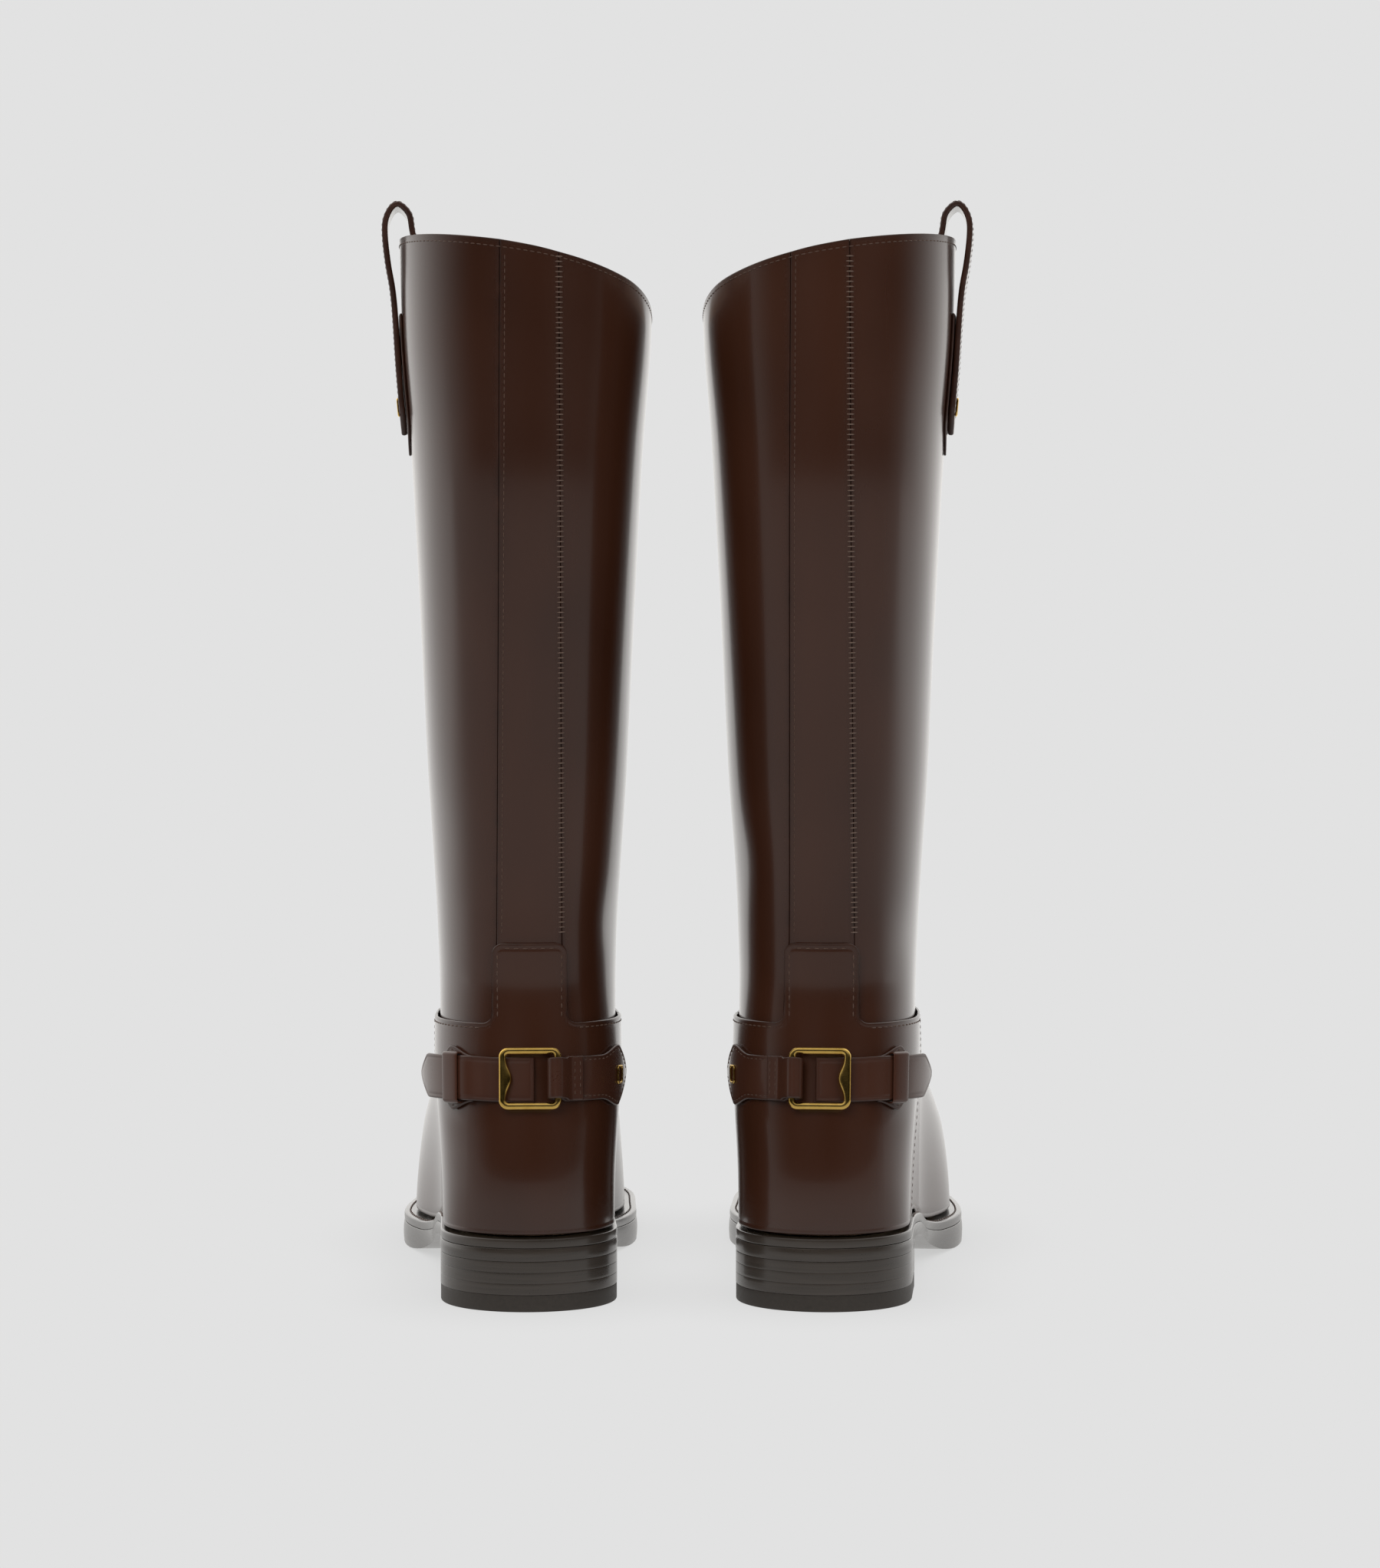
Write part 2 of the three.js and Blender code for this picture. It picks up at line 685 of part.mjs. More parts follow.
function steelShank() {
  const middle = (s, r) => {
    const y = mix(SHANK_FROM, SHANK_TO, s);
    return new THREE.Vector3(SHANK_SIDE + (r - 0.5) * SHANK_WIDTH, y, weltLow(y) + WELT / 2);
  };
  return sheet(middle, SHANK_THICK, 7, 1);
}
function weltStrip() {
  const corners = [
    [() => -WELT_INNER, weltLow],
    [() => -WELT_INNER, weltHigh],
    [(angle) => weltEdge(angle) - 0.8, weltHigh],
    [weltEdge, (y) => weltHigh(y) - 0.9],
    [weltEdge, weltLow],
  ];
  const geometry = new ParametricGeometry(
    (u, v, target) => {
      const angle = (Math.round(u * COLUMNS) % COLUMNS) * ((2 * Math.PI) / COLUMNS);
      const [out, height] = corners[Math.round(v * corners.length) % corners.length];
      target.copy(outline(angle, out(angle)));
      target.z = height(target.y);
    },
    COLUMNS,
    corners.length,
  );
  return closed(geometry);
}
const soleLow = (y) => seat(y) - outsoleThick(y);
function outsole() {
  const section = [
    [(angle) => weltEdge(angle) - 0.6, seat],
    [(angle) => weltEdge(angle) + 0.5, (y) => mix(seat(y), soleLow(y), 0.25)],
    [(angle) => weltEdge(angle) + 0.4, (y) => mix(seat(y), soleLow(y), 0.7)],
    [(angle) => weltEdge(angle) - 1.4, soleLow],
  ];
  return cut(plate({ extra: [angleAlong(HEEL_BREAST)], section }), screwTool());
}
const liftSpace = HEEL_SEAT - HEEL_SEAT_THICK - TOP_PIECE - CLEARANCE;
const liftThick = liftSpace / LIFTS - CLEARANCE;
function heelLayer(low, high, out) {
  const breast = angleAlong(HEEL_BREAST - 1);
  const section = [
    [(angle) => weltEdge(angle) + out, () => high],
    [(angle) => weltEdge(angle) + out, () => low],
  ];
  return plate({ to: breast, section });
}
const liftLow = (index) => TOP_PIECE + CLEARANCE + index * (liftThick + CLEARANCE);
function heelLift(index) {
  const low = liftLow(index);
  const layer = heelLayer(low, low + liftThick, 0);
  return index === 0 ? layer : cut(layer, screwTool());
}
function heelScrew() {
  const point = liftLow(1) + SCREW_R / 4; // in the middle lift
  const head = insoleHigh(SCREW_Y);
  const profile = [
    [0, point],
    [SCREW_R / 2, point],
    [SCREW_R, point + SCREW_R],
    [SCREW_R, head],
    [0, head],
  ].map(([r, z]) => new THREE.Vector2(r, z));
  return closed(new THREE.LatheGeometry(profile, SCREW_SIDES).rotateX(Math.PI / 2).translate(0, SCREW_Y, 0));
}

// ---- ankle strap --------------------------------------------------------------------------------------
// Places on it are given by the distance round the boot from the back centre line, plus to the outer
// side, the distance off the surface, and the distance above the strap's centre line.

const strapRing = (() => {
  const steps = 240;
  const list = [];
  let length = 0;
  let before = null;
  for (let i = 0; i <= steps; i++) {
    const angle = (i / steps) * 2;
    const point = surface(levelOfHeight(STRAP_Z, angle), angle);
    if (before) length += point.distanceTo(before);
    before = point;
    list.push([length, angle]);
  }
  return list;
})();
function strapAngle(round) {
  const want = Math.abs(round);
  const i = strapRing.findIndex(([length], k) => k + 1 < strapRing.length && strapRing[k + 1][0] >= want);
  const [[l0, a0], [l1, a1]] = [strapRing[i], strapRing[i + 1]];
  return Math.sign(round) * mix(a0, a1, (want - l0) / (l1 - l0));
}
const strapLean = (() => {
  const [low, high] = [levelOfHeight(STRAP_Z - 5, 0), levelOfHeight(STRAP_Z + 5, 0)];
  return surface(high, 0).sub(surface(low, 0)).normalize();
})();
function strapFrame(round) {
  const angle = strapAngle(round);
  const level = levelOfHeight(STRAP_Z, angle);
  const point = surface(level, angle);
  const out = normal(level, angle);
  const up = strapLean.clone().addScaledVector(out, -strapLean.dot(out)).normalize();
  return { point, out, up };
}
function onStrap(round, off, height) {
  const { point, out, up } = strapFrame(round);
  return point.addScaledVector(out, off).addScaledVector(up, height);
}

// A strap whose middle line is a curve in (round, off), and whose half height is a function of its share.
function strapPiece(line, half, thickness, columns, rows = 1) {
  const curve = new THREE.SplineCurve(line.map(([x, y]) => new THREE.Vector2(x, y)));
  const middle = (s, r) => {
    const share = THREE.MathUtils.clamp(s, 0, 1);
    const at = curve.getPoint(share);
    const beyond = s - share;
    if (beyond) at.addScaledVector(curve.getTangent(share), beyond);
    return onStrap(at.x, at.y, (2 * r - 1) * half(share, at.x));
  };
  return sheet(middle, thickness, columns, rows);
}

const strapMiddle = STRAP_OFF + STRAP_THICK / 2;
const foldRadius = BUCKLE_WIRE + BAR_SLACK + STRAP_THICK / 2;
// The buckle's hidden bar, off the surface.
const barOff = STRAP_OFF + STRAP_THICK / 2 + foldRadius + BAR_LIFT;
// The bars lie where the frame's width spans the strap's curve.
const barAt = (() => {
  let [low, high] = [0, BUCKLE_HALF * 1.5];
  for (let i = 0; i < 30; i++) {
    const middle = (low + high) / 2;
    if (onStrap(middle, barOff, 0).distanceTo(onStrap(-middle, barOff, 0)) < 2 * BUCKLE_HALF) low = middle;
    else high = middle;
  }
  return -low;
})();
const foldTop = strapMiddle + STRAP_THICK + CLEARANCE;
const FOLD_TAIL = 9.5; // the folded end reaches this far back from the bar

// Half height of an arrow end: the strap widens from its neck to the corners and closes to a point.
function arrowHalf(at) {
  const q = Math.abs(at);
  if (q <= ARROW_NECK) return STRAP_HALF;
  if (q > ARROW_CORNER) return mix(ARROW_HALF, POINT_HALF, (q - ARROW_CORNER) / (ARROW_TIP - ARROW_CORNER));
  return mix(STRAP_HALF, ARROW_HALF, smooth((q - ARROW_NECK) / (ARROW_CORNER - ARROW_NECK)));
}
function anchorStrap() {
  const line = [
    [-ARROW_TIP, strapMiddle],
    [-ARROW_CORNER, strapMiddle],
    [-ARROW_NECK, strapMiddle],
    [mix(-ARROW_NECK, barAt - foldRadius, 0.55), strapMiddle],
    [barAt - foldRadius, strapMiddle],
  ];
  const turns = 6;
  for (let i = 0; i <= turns; i++) {
    const turn = -Math.PI / 2 + (i / turns) * Math.PI * 0.98;
    line.push([barAt + foldRadius * Math.cos(turn), barOff + foldRadius * Math.sin(turn)]);
  }
  line.push([barAt - foldRadius * 1.3, foldTop + STRAP_THICK * 0.55]);
  line.push([barAt - foldRadius * 1.9, foldTop]);
  line.push([barAt - FOLD_TAIL, foldTop]);
  return strapPiece(line, (s, at) => (at > barAt - foldRadius ? FOLD_HALF : arrowHalf(at)), STRAP_THICK, 28);
}
const tabMiddle = STRAP_OFF + TAB_THICK / 2;
function outerAnchor() {
  const half = (s, at) => {
    if (at > TAB_CORNER) return mix(TAB_HALF, POINT_HALF, (at - TAB_CORNER) / (TAB_TIP - TAB_CORNER));
    return mix(STRAP_HALF + CLEARANCE, TAB_HALF, smooth((at - TAB_FROM) / (TAB_CORNER - TAB_FROM)));
  };
  const line = [
    [TAB_FROM, tabMiddle],
    [TAB_CORNER, tabMiddle],
    [TAB_TIP, tabMiddle],
  ];
  return strapPiece(line, half, TAB_THICK, 8);
}
const keeperBack = STRAP_OFF + TAB_THICK + CLEARANCE + 0.15;
const billetHigh = keeperBack + KEEPER_THICK + KEEPER_SLACK + STRAP_THICK / 2;
const BILLET_FROM = -1.5;
const BILLET_RISE = [13, 21.5]; // where the billet climbs over the outer tab and into the keeper
const BILLET_POINT = 9; // length of the billet's pointed tip
function billetStrap() {
  const line = [
    [BILLET_FROM, strapMiddle],
    [mix(BILLET_FROM, BILLET_RISE[0], 0.5), strapMiddle],
    [BILLET_RISE[0], strapMiddle + 0.1],
    [mix(BILLET_RISE[0], BILLET_RISE[1], 0.47), mix(strapMiddle, billetHigh, 0.55)],
    [BILLET_RISE[1], billetHigh],
    [KEEPER_AT, billetHigh],
    [KEEPER_AT + KEEPER_WIDTH, billetHigh],
    [BILLET_END, billetHigh + 0.4],
  ];
  const half = (s, at) => {
    const left = BILLET_END - at;
    return left >= BILLET_POINT ? STRAP_HALF : mix(POINT_HALF, STRAP_HALF, left / BILLET_POINT);
  };
  return strapPiece(line, half, STRAP_THICK, 18);
}
function keeperLoop() {
  const inner = STRAP_HALF + KEEPER_SLACK;
  const outer = inner + KEEPER_THICK;
  const low = keeperBack;
  const high = billetHigh + STRAP_THICK / 2 + KEEPER_SLACK + KEEPER_THICK;
  const corners = [
    [-outer, low],
    [outer, low],
    [outer, high],
    [-outer, high],
    [-inner, low + KEEPER_THICK],
    [-inner, high - KEEPER_THICK],
    [inner, high - KEEPER_THICK],
    [inner, low + KEEPER_THICK],
  ];
  const loop = (height, off) => [
    onStrap(KEEPER_AT - KEEPER_WIDTH / 2, off, height),
    onStrap(KEEPER_AT, off, height),
    onStrap(KEEPER_AT + KEEPER_WIDTH / 2, off, height),
  ];
  const places = corners.map(([height, off]) => loop(height, off));
  const [outside, inside] = [places.slice(0, 4), [places[4], places[7], places[6], places[5]]];
  const geometry = new ParametricGeometry(
    (u, v, target) => {
      const i = Math.round(u * 4) % 4;
      const stop = Math.round(v * 6) % 6;
      target.copy(stop < 3 ? outside[i][stop] : inside[i][5 - stop]);
    },
    4,
    6,
  );
  return closed(geometry);
}

class RoundedRectangle extends THREE.CurvePath {
  constructor(halfX, halfY, corner) {
    super();
    const [x, y] = [halfX - corner, halfY - corner];
    const stops = [
      [halfX, -y, halfX, y, halfX, halfY],
      [x, halfY, -x, halfY, -halfX, halfY],
      [-halfX, y, -halfX, -y, -halfX, -halfY],
      [-x, -halfY, x, -halfY, halfX, -halfY],
    ];
    stops.forEach(([x0, y0, x1, y1, cornerX, cornerY], i) => {
      const [nextX, nextY] = stops[(i + 1) % stops.length];
      this.add(new THREE.LineCurve3(new THREE.Vector3(x0, y0, 0), new THREE.Vector3(x1, y1, 0)));
      this.add(
        new THREE.QuadraticBezierCurve3(
          new THREE.Vector3(x1, y1, 0),
          new THREE.Vector3(cornerX, cornerY, 0),
          new THREE.Vector3(nextX, nextY, 0),
        ),
      );
    });
  }
}

// The buckle: a flat square frame of round wire whose outer bar is swelled in the middle.
const SWELL = 2.2;
function buckleSkin() {
  const path = [];
  const side = 5;
  const turn = 3;
  const [x, y] = [BUCKLE_HALF - BUCKLE_CORNER, BUCKLE_HALF - BUCKLE_CORNER];
  const arc = (cx, cy, start) => {
    for (let i = 0; i <= turn; i++) {
      const angle = start + (i / turn) * (Math.PI / 2);
      path.push([cx + BUCKLE_CORNER * Math.cos(angle), cy + BUCKLE_CORNER * Math.sin(angle), angle]);
    }
  };
  for (let i = 1; i < side; i++) path.push([BUCKLE_HALF, mix(-y, y, i / side), 0]);
  arc(x, y, 0);
  arc(-x, y, Math.PI / 2);
  arc(-x, -y, Math.PI);
  arc(x, -y, 1.5 * Math.PI);
  const sides = 6;
  const geometry = new ParametricGeometry(
    (u, v, target) => {
      const [px, py, angle] = path[Math.round(u * path.length) % path.length];
      const turned = (Math.round(v * sides) % sides) * ((2 * Math.PI) / sides);
      const outwards = Math.cos(turned);
      const onBar = px > BUCKLE_HALF - 0.01 ? SWELL * smooth(1 - Math.abs(py) / y) : 0;
      const reach = outwards < 0 ? BUCKLE_WIRE * outwards - onBar * -outwards : BUCKLE_WIRE * outwards;
      target.set(px + reach * Math.cos(angle), py + reach * Math.sin(angle), BUCKLE_WIRE * Math.sin(turned));
    },
    path.length,
    sides,
  );
  return closed(geometry);
}
function buckleFrame() {
  const bar = onStrap(barAt, barOff, 0);
  const far = onStrap(-barAt, barOff, 0);
  const across = far.clone().sub(bar).normalize();
  const { up } = strapFrame(0);
  const out = across.clone().cross(up).normalize();
  const upright = out.clone().cross(across);
  const middle = bar.clone().addScaledVector(across, BUCKLE_HALF);
  const place = new THREE.Matrix4().makeBasis(across, upright, out).setPosition(middle);
  return buckleSkin().applyMatrix4(place);
}

// A small brass staple: a rectangular ring of wire that lies on a strap.
const STAPLE_HALF_LONG = 3.2;
const STAPLE_HALF_WIDE = 2;
function stapleOn(place, off) {
  const curve = new RoundedRectangle(STAPLE_HALF_WIDE, STAPLE_HALF_LONG, 1);
  const ring = 12;
  const sides = 4;
  const points = curve.getSpacedPoints(ring).slice(0, ring);
  const geometry = new ParametricGeometry(
    (u, v, target) => {
      const i = Math.round(u * ring) % ring;
      const [before, after] = [points[(i + ring - 1) % ring], points[(i + 1) % ring]];
      const way = after.clone().sub(before).normalize();
      const turned = (Math.round(v * sides) % sides) * ((2 * Math.PI) / sides);
      const reach = STAPLE_WIRE * 0.55 * Math.cos(turned);
      const rise = STAPLE_WIRE * 0.55 * Math.sin(turned);
      const at = points[i].clone().add(new THREE.Vector3(way.y, -way.x, 0).multiplyScalar(reach));
      target.copy(place(at.x, at.y, off + STAPLE_WIRE * 0.55 + rise));
    },
    ring,
    sides,
  );
  return closed(geometry);
}
const innerStaple = () =>
  stapleOn((along, up, off) => onStrap(-ARROW_CORNER + along, off, up), STRAP_OFF + STRAP_THICK + CLEARANCE);
const outerStaple = () =>
  stapleOn((along, up, off) => onStrap(TAB_STAPLE + along * 0.8, off, up), STRAP_OFF + TAB_THICK + CLEARANCE);

// ---- pull loop ----------------------------------------------------------------------------------------

const SIDE_ANGLE = Math.PI / 2;
// A point beside the outer side of the shaft, by height, distance out and distance towards the toe.
function besideShaft(z, out, along) {
  const point = surface(levelOfHeight(z, SIDE_ANGLE), SIDE_ANGLE);
  return new THREE.Vector3(point.x + out, point.y + along, z);
}
const pullOut = CLEARANCE + PATCH_THICK + CLEARANCE + PULL_THICK / 2;
const pullIn = liningOff[0] - PULL_INSIDE - PULL_THICK / 2;
function pullStrap() {
  const line = [
    [pullIn, RIM_OUTER - 45],
    [pullIn, RIM_OUTER - 20],
    [pullIn, RIM_OUTER - 4],
    [pullIn + 1.2, RIM_OUTER + 5],
    [-0.2, LOOP_TOP - 3.6],
    [3, LOOP_TOP],
    [6.6, LOOP_TOP - 3.4],
    [LOOP_OUT, RIM_OUTER + 3],
    [6.6, RIM_OUTER - 8],
    [pullOut + 1, RIM_OUTER - 21],
    [pullOut, RIM_OUTER - 36],
    [pullOut, PULL_END + 20],
    [pullOut, PULL_END],
  ];
  const curve = new THREE.SplineCurve(line.map(([out, z]) => new THREE.Vector2(out, z)));
  const middle = (s, r) => {
    const share = THREE.MathUtils.clamp(s, 0, 1);
    const at = curve.getPoint(share);
    if (s !== share) at.addScaledVector(curve.getTangent(share), s - share);
    const pointed = at.x > 0 ? THREE.MathUtils.clamp((at.y - PULL_END) / PULL_POINT, 0, 1) : 1;
    const half = mix(POINT_HALF, PULL_WIDTH / 2, pointed);
    return besideShaft(at.y, at.x, (2 * r - 1) * half);
  };
  return sheet(middle, PULL_THICK, 28, 1);
}
function pullPatch() {
  const middle = (s, r) => {
    const z = mix(PATCH_END, PATCH_TOP, s);
    const share = THREE.MathUtils.clamp((z - PATCH_END) / PATCH_POINT, 0, 1);
    const half = mix(POINT_HALF, PULL_WIDTH / 2 + PATCH_MARGIN, share);
    const across = (2 * r - 1) * half;
    const level = levelOfHeight(z, SIDE_ANGLE);
    const depth = (frontOfLevel(level) - backOfLevel(level)) / 2;
    return onSurface(level, SIDE_ANGLE + across / depth, CLEARANCE + PATCH_THICK / 2);
  };
  return sheet(middle, PATCH_THICK, 7, 2);
}
const pullStaple = () =>
  stapleOn(
    (along, up, off) => besideShaft(PULL_END + PULL_STAPLE + up, off, along),
    pullOut + PULL_THICK / 2 + CLEARANCE,
  );

// ---- assembly -----------------------------------------------------------------------------------------

const pieces = [
  ["shaft_panel", shaftPanel(), OUTER_LEATHER],
  ["back_strip", backStrip(), OUTER_LEATHER],
  ["shaft_lining", shaftLining(), LINING_LEATHER],
  ["counter_cover", counterCover(), OUTER_LEATHER],
  ["vamp", vamp(), OUTER_LEATHER],
  ["counter_stiffener", counterStiffener(), STIFFENER],
  ["toe_puff", toePuff(), STIFFENER],
  ["foot_lining", footLining(), LINING_LEATHER],
  ["insole_board", insoleBoard(), STIFFENER],
  ["sock_liner", sockLiner(), LINING_LEATHER],
  ["steel_shank", steelShank(), STEEL],
  ["cork_filler", corkFiller(), CORK],
  ["welt", weltStrip(), SOLE],
  ["outsole", outsole(), SOLE],
  ["heel_top_piece", heelLayer(0, TOP_PIECE, -0.3), RUBBER],
  ["heel_screw", heelScrew(), STEEL],
  ["pull_strap", pullStrap(), STRAP_LEATHER],
  ["pull_strap_patch", pullPatch(), OUTER_LEATHER],
  ["pull_strap_staple", pullStaple(), BRASS],
  ["anchor_strap", anchorStrap(), STRAP_LEATHER],
  ["inner_staple", innerStaple(), BRASS],
  ["outer_anchor", outerAnchor(), STRAP_LEATHER],
  ["outer_staple", outerStaple(), BRASS],
  ["billet_strap", billetStrap(), STRAP_LEATHER],
  ["keeper_loop", keeperLoop(), STRAP_LEATHER],
  ["buckle_frame", buckleFrame(), BRASS],
];
for (let i = 0; i < LIFTS; i++) pieces.push([`heel_lift_${i + 1}`, heelLift(i), SOLE]);

const pair = new THREE.Group();
for (const { side, mirror, toeOut } of BOOTS) {
  const boot = new THREE.Group();
  boot.scale.x = mirror;
  boot.position.x = (mirror * BOOT_SPACING) / 2;
  const turned = new THREE.Group();
  turned.rotation.z = -toeOut * THREE.MathUtils.DEG2RAD;
  for (const [name, geometry, look] of pieces) {
    const mesh = new THREE.Mesh(geometry, new THREE.MeshStandardMaterial(look));
    mesh.name = `${side}_${name}`;
    turned.add(mesh);
  }
  boot.add(turned);
  pair.add(boot);
}
// The pair's box is centred over the origin.
const box = new THREE.Box3().setFromObject(pair, true);
const centre = box.getCenter(new THREE.Vector3());
pair.children.forEach((boot) => boot.position.sub(new THREE.Vector3(centre.x, centre.y, box.min.z)));

export default pair;
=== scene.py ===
# %% [markdown]
# # A pair of tall leather riding boots
#
# A riding boot is a tube of polished calf leather, sewn to a foot that is pulled over a last and stitched
# to a welted sole. This lesson builds the pair's looks around a finished frame: the frame holds the sizes,
# the hidden parts, the foot's lining and the buckle's hinge. The other leather that shows is made here,
# mostly as closed sheets of even thickness. Each skin is a formula worked out on a grid, because a boot's
# shape is a smooth function of the height and of the angle round the leg.

import bmesh
import bpy
import numpy as np
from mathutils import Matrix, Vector


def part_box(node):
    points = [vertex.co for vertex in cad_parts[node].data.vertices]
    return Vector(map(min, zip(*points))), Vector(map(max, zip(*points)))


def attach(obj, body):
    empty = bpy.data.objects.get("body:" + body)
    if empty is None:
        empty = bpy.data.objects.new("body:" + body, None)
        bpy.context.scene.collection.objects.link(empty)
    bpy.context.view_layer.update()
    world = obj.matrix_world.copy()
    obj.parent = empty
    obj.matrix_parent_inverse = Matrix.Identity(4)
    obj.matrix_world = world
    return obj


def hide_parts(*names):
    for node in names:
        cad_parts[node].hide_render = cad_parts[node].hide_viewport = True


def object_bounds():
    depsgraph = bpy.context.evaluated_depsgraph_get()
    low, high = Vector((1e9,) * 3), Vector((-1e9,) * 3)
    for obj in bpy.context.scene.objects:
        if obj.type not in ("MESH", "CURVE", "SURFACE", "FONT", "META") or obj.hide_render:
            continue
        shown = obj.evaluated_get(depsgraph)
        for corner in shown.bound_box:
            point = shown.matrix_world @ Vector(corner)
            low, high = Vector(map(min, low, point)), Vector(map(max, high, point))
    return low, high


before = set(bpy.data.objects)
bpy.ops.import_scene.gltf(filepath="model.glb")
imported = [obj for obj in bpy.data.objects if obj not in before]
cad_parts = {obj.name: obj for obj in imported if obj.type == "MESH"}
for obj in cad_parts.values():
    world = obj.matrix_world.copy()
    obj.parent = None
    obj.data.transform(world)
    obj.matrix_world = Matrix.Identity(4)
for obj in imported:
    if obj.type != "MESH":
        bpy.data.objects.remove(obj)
cad_box = [list(corner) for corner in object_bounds()]
print("frame nodes", len(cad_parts), "box", cad_box)

# %% [markdown]
# ## Where each boot stands
#
# Both boots share one shape, drawn in a boot's own frame in millimetres: +X is its outer side, +Y its toe
# and Y = 0 the back of its heel. The left boot is the mirror image. The heel screw stands on the boot's
# centre line, so the middle of its box tells where the boot's own frame lies.

# %% The boots' own frames
MM = 1000.0
SCREW_Y = 30.0  # from the back of the boot
BOOTS = {"right": (1, 5.0), "left": (-1, 3.3)}  # mirror, and degrees of toe-out


def turned(side, points):
    """Turns points about the boot's Z by its toe-out, then mirrors X: x' = m (x cos t + y sin t)."""
    mirror, toe_out = BOOTS[side]
    sine, cosine = np.sin(np.radians(toe_out)), np.cos(np.radians(toe_out))
    x, y, z = np.moveaxis(np.asarray(points, float), -1, 0)
    return np.stack([mirror * (x * cosine + y * sine), y * cosine - x * sine, z + 0 * x], -1)


ORIGIN = {}
for side in BOOTS:
    low, high = (np.array(corner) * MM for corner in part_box(f"{side}_heel_screw"))
    ORIGIN[side] = (low + high) / 2 - turned(side, [0, SCREW_Y, 0])
    ORIGIN[side][2] = 0
    print(side, "boot stands at", ORIGIN[side].round(2))


def in_row(side, points):
    """Boot millimetres to the row frame's metres."""
    return (turned(side, points) + ORIGIN[side]) / MM


# %% [markdown]
# ## Smooth profiles
#
# A last is drawn by a few profiles: where the back of the leg lies at each height, how wide it is, where
# the instep runs. Each profile is a curve through a few points with no overshoot between them, so a
# width never dips where the maker didn't draw a dip.

# %% A curve through points
def through(pairs):
    """A cubic through [x, value] pairs. Each tangent is the harmonic mean of the slopes beside it, or zero
    where the slopes change sign, and the ends run on in a straight line."""
    x, v = np.array(pairs, float).T
    slope = np.diff(v) / np.diff(x)
    before, after = slope[:-1], slope[1:]
    same = before * after > 0
    inner = np.where(same, 2 * before * after / np.where(same, before + after, 1), 0)
    tangent = np.concatenate([slope[:1], inner, slope[-1:]])

    def curve(at):
        at = np.asarray(at, float)
        i = np.clip(np.searchsorted(x, at, side="right") - 1, 0, len(x) - 2)
        width = x[i + 1] - x[i]
        q = (at - x[i]) / width
        rise = v[i] * (1 + 2 * q) * (1 - q) ** 2 + v[i + 1] * q * q * (3 - 2 * q)
        lean = tangent[i] * q * (1 - q) ** 2 - tangent[i + 1] * q * q * (1 - q)
        below = v[0] + tangent[0] * (at - x[0])
        above = v[-1] + tangent[-1] * (at - x[-1])
        return np.where(at <= x[0], below, np.where(at >= x[-1], above, rise + lean * width))

    return curve


def mix(a, b, q):
    return a + (b - a) * q


def smooth(q):
    q = np.clip(q, 0, 1)
    return q * q * (3 - 2 * q)


# %% [markdown]
# ## The boot's surface
#
# A point of the upper is given by its level and its angle. Level 0 is the edge at the sole, level 1 the
# ankle seam, and above that the level rises one for each 100 mm. The angle is 0 at the back, a quarter
# turn on the outer side and a half turn at the front. The same formula and the same sizes shaped the
# frame's solids, so each skin lands on the solid that it stands for.

# %% Sizes of the last
ANKLE = 109.0
SHAFT_STEP = 100.0
FOOT_LENGTH = 275.5
HEEL_SEAT, FORE_SEAT = 24.2, 9.5
HEEL_SEAT_THICK = 5.0
HEEL_BREAST = 64.0
TOE_SPRING = 4.5
WELT, SOLE_GAP, CLEARANCE = 3.2, 0.5, 0.3
SEAT_RISE = SOLE_GAP + WELT + CLEARANCE
RIM_OUTER, RIM_BACK, RIM_INNER, RIM_FRONT = 413.5, 405.5, 384.0, 400.0
HEEL_HALF, BALL_HALF = 31.3, 43.0
END_POWER = 2.3

seat = through([
    [-10, HEEL_SEAT], [HEEL_BREAST, HEEL_SEAT], [88, mix(FORE_SEAT, HEEL_SEAT, 0.88)],
    [122, mix(FORE_SEAT, HEEL_SEAT, 0.34)], [150, mix(FORE_SEAT, HEEL_SEAT, 0.05)], [172, FORE_SEAT],
    [226, FORE_SEAT], [255, FORE_SEAT + TOE_SPRING * 0.26], [292, FORE_SEAT + TOE_SPRING],
])
outsole_thick = through([
    [-10, HEEL_SEAT_THICK], [HEEL_BREAST, HEEL_SEAT_THICK], [110, HEEL_SEAT_THICK],
    [172, FORE_SEAT], [292, FORE_SEAT],
])
back_of_level = through([
    [0, 2.5], [0.2, 0.6], [0.52, 3.5], [0.76, 8], [1, 11.8], [1.16, 13.2], [1.4, 13], [1.95, 8],
    [2.6, 2], [3.2, -1], [4.2, -1],
])
front_of_level = through([
    [0, 2.5 + FOOT_LENGTH], [0.12, 281], [0.25, 277], [0.38, 262], [0.52, 236], [0.66, 205],
    [0.82, 169], [1, 134], [1.12, 123], [1.4, 118], [1.95, 118], [2.6, 121], [3.2, 124], [4.2, 129],
])
front_rise = through([
    [0, 0], [0.12, 0.12], [0.25, 0.27], [0.38, 0.4], [0.52, 0.5], [0.66, 0.595], [0.82, 0.745], [1, 1],
])
shaft_half = through([
    [0, HEEL_HALF], [0.2, 33.3], [0.55, 34.6], [0.8, 34.8], [1, 34.5], [1.1, 34.6], [1.37, 35.6],
    [1.64, 37.2], [1.96, 39.2], [2.28, 40.7], [2.59, 42.2], [2.91, 43.8], [3.23, 45.6], [3.68, 49],
    [4.2, 50.5],
])
foot_half = through([
    [0, HEEL_HALF], [0.2, HEEL_HALF], [0.42, 30], [0.68, BALL_HALF], [0.84, 41], [1, 36],
])
foot_swing = through([[0, 0], [0.2, 0], [0.45, 2.5], [0.7, 1], [0.88, -3], [1, -5]])
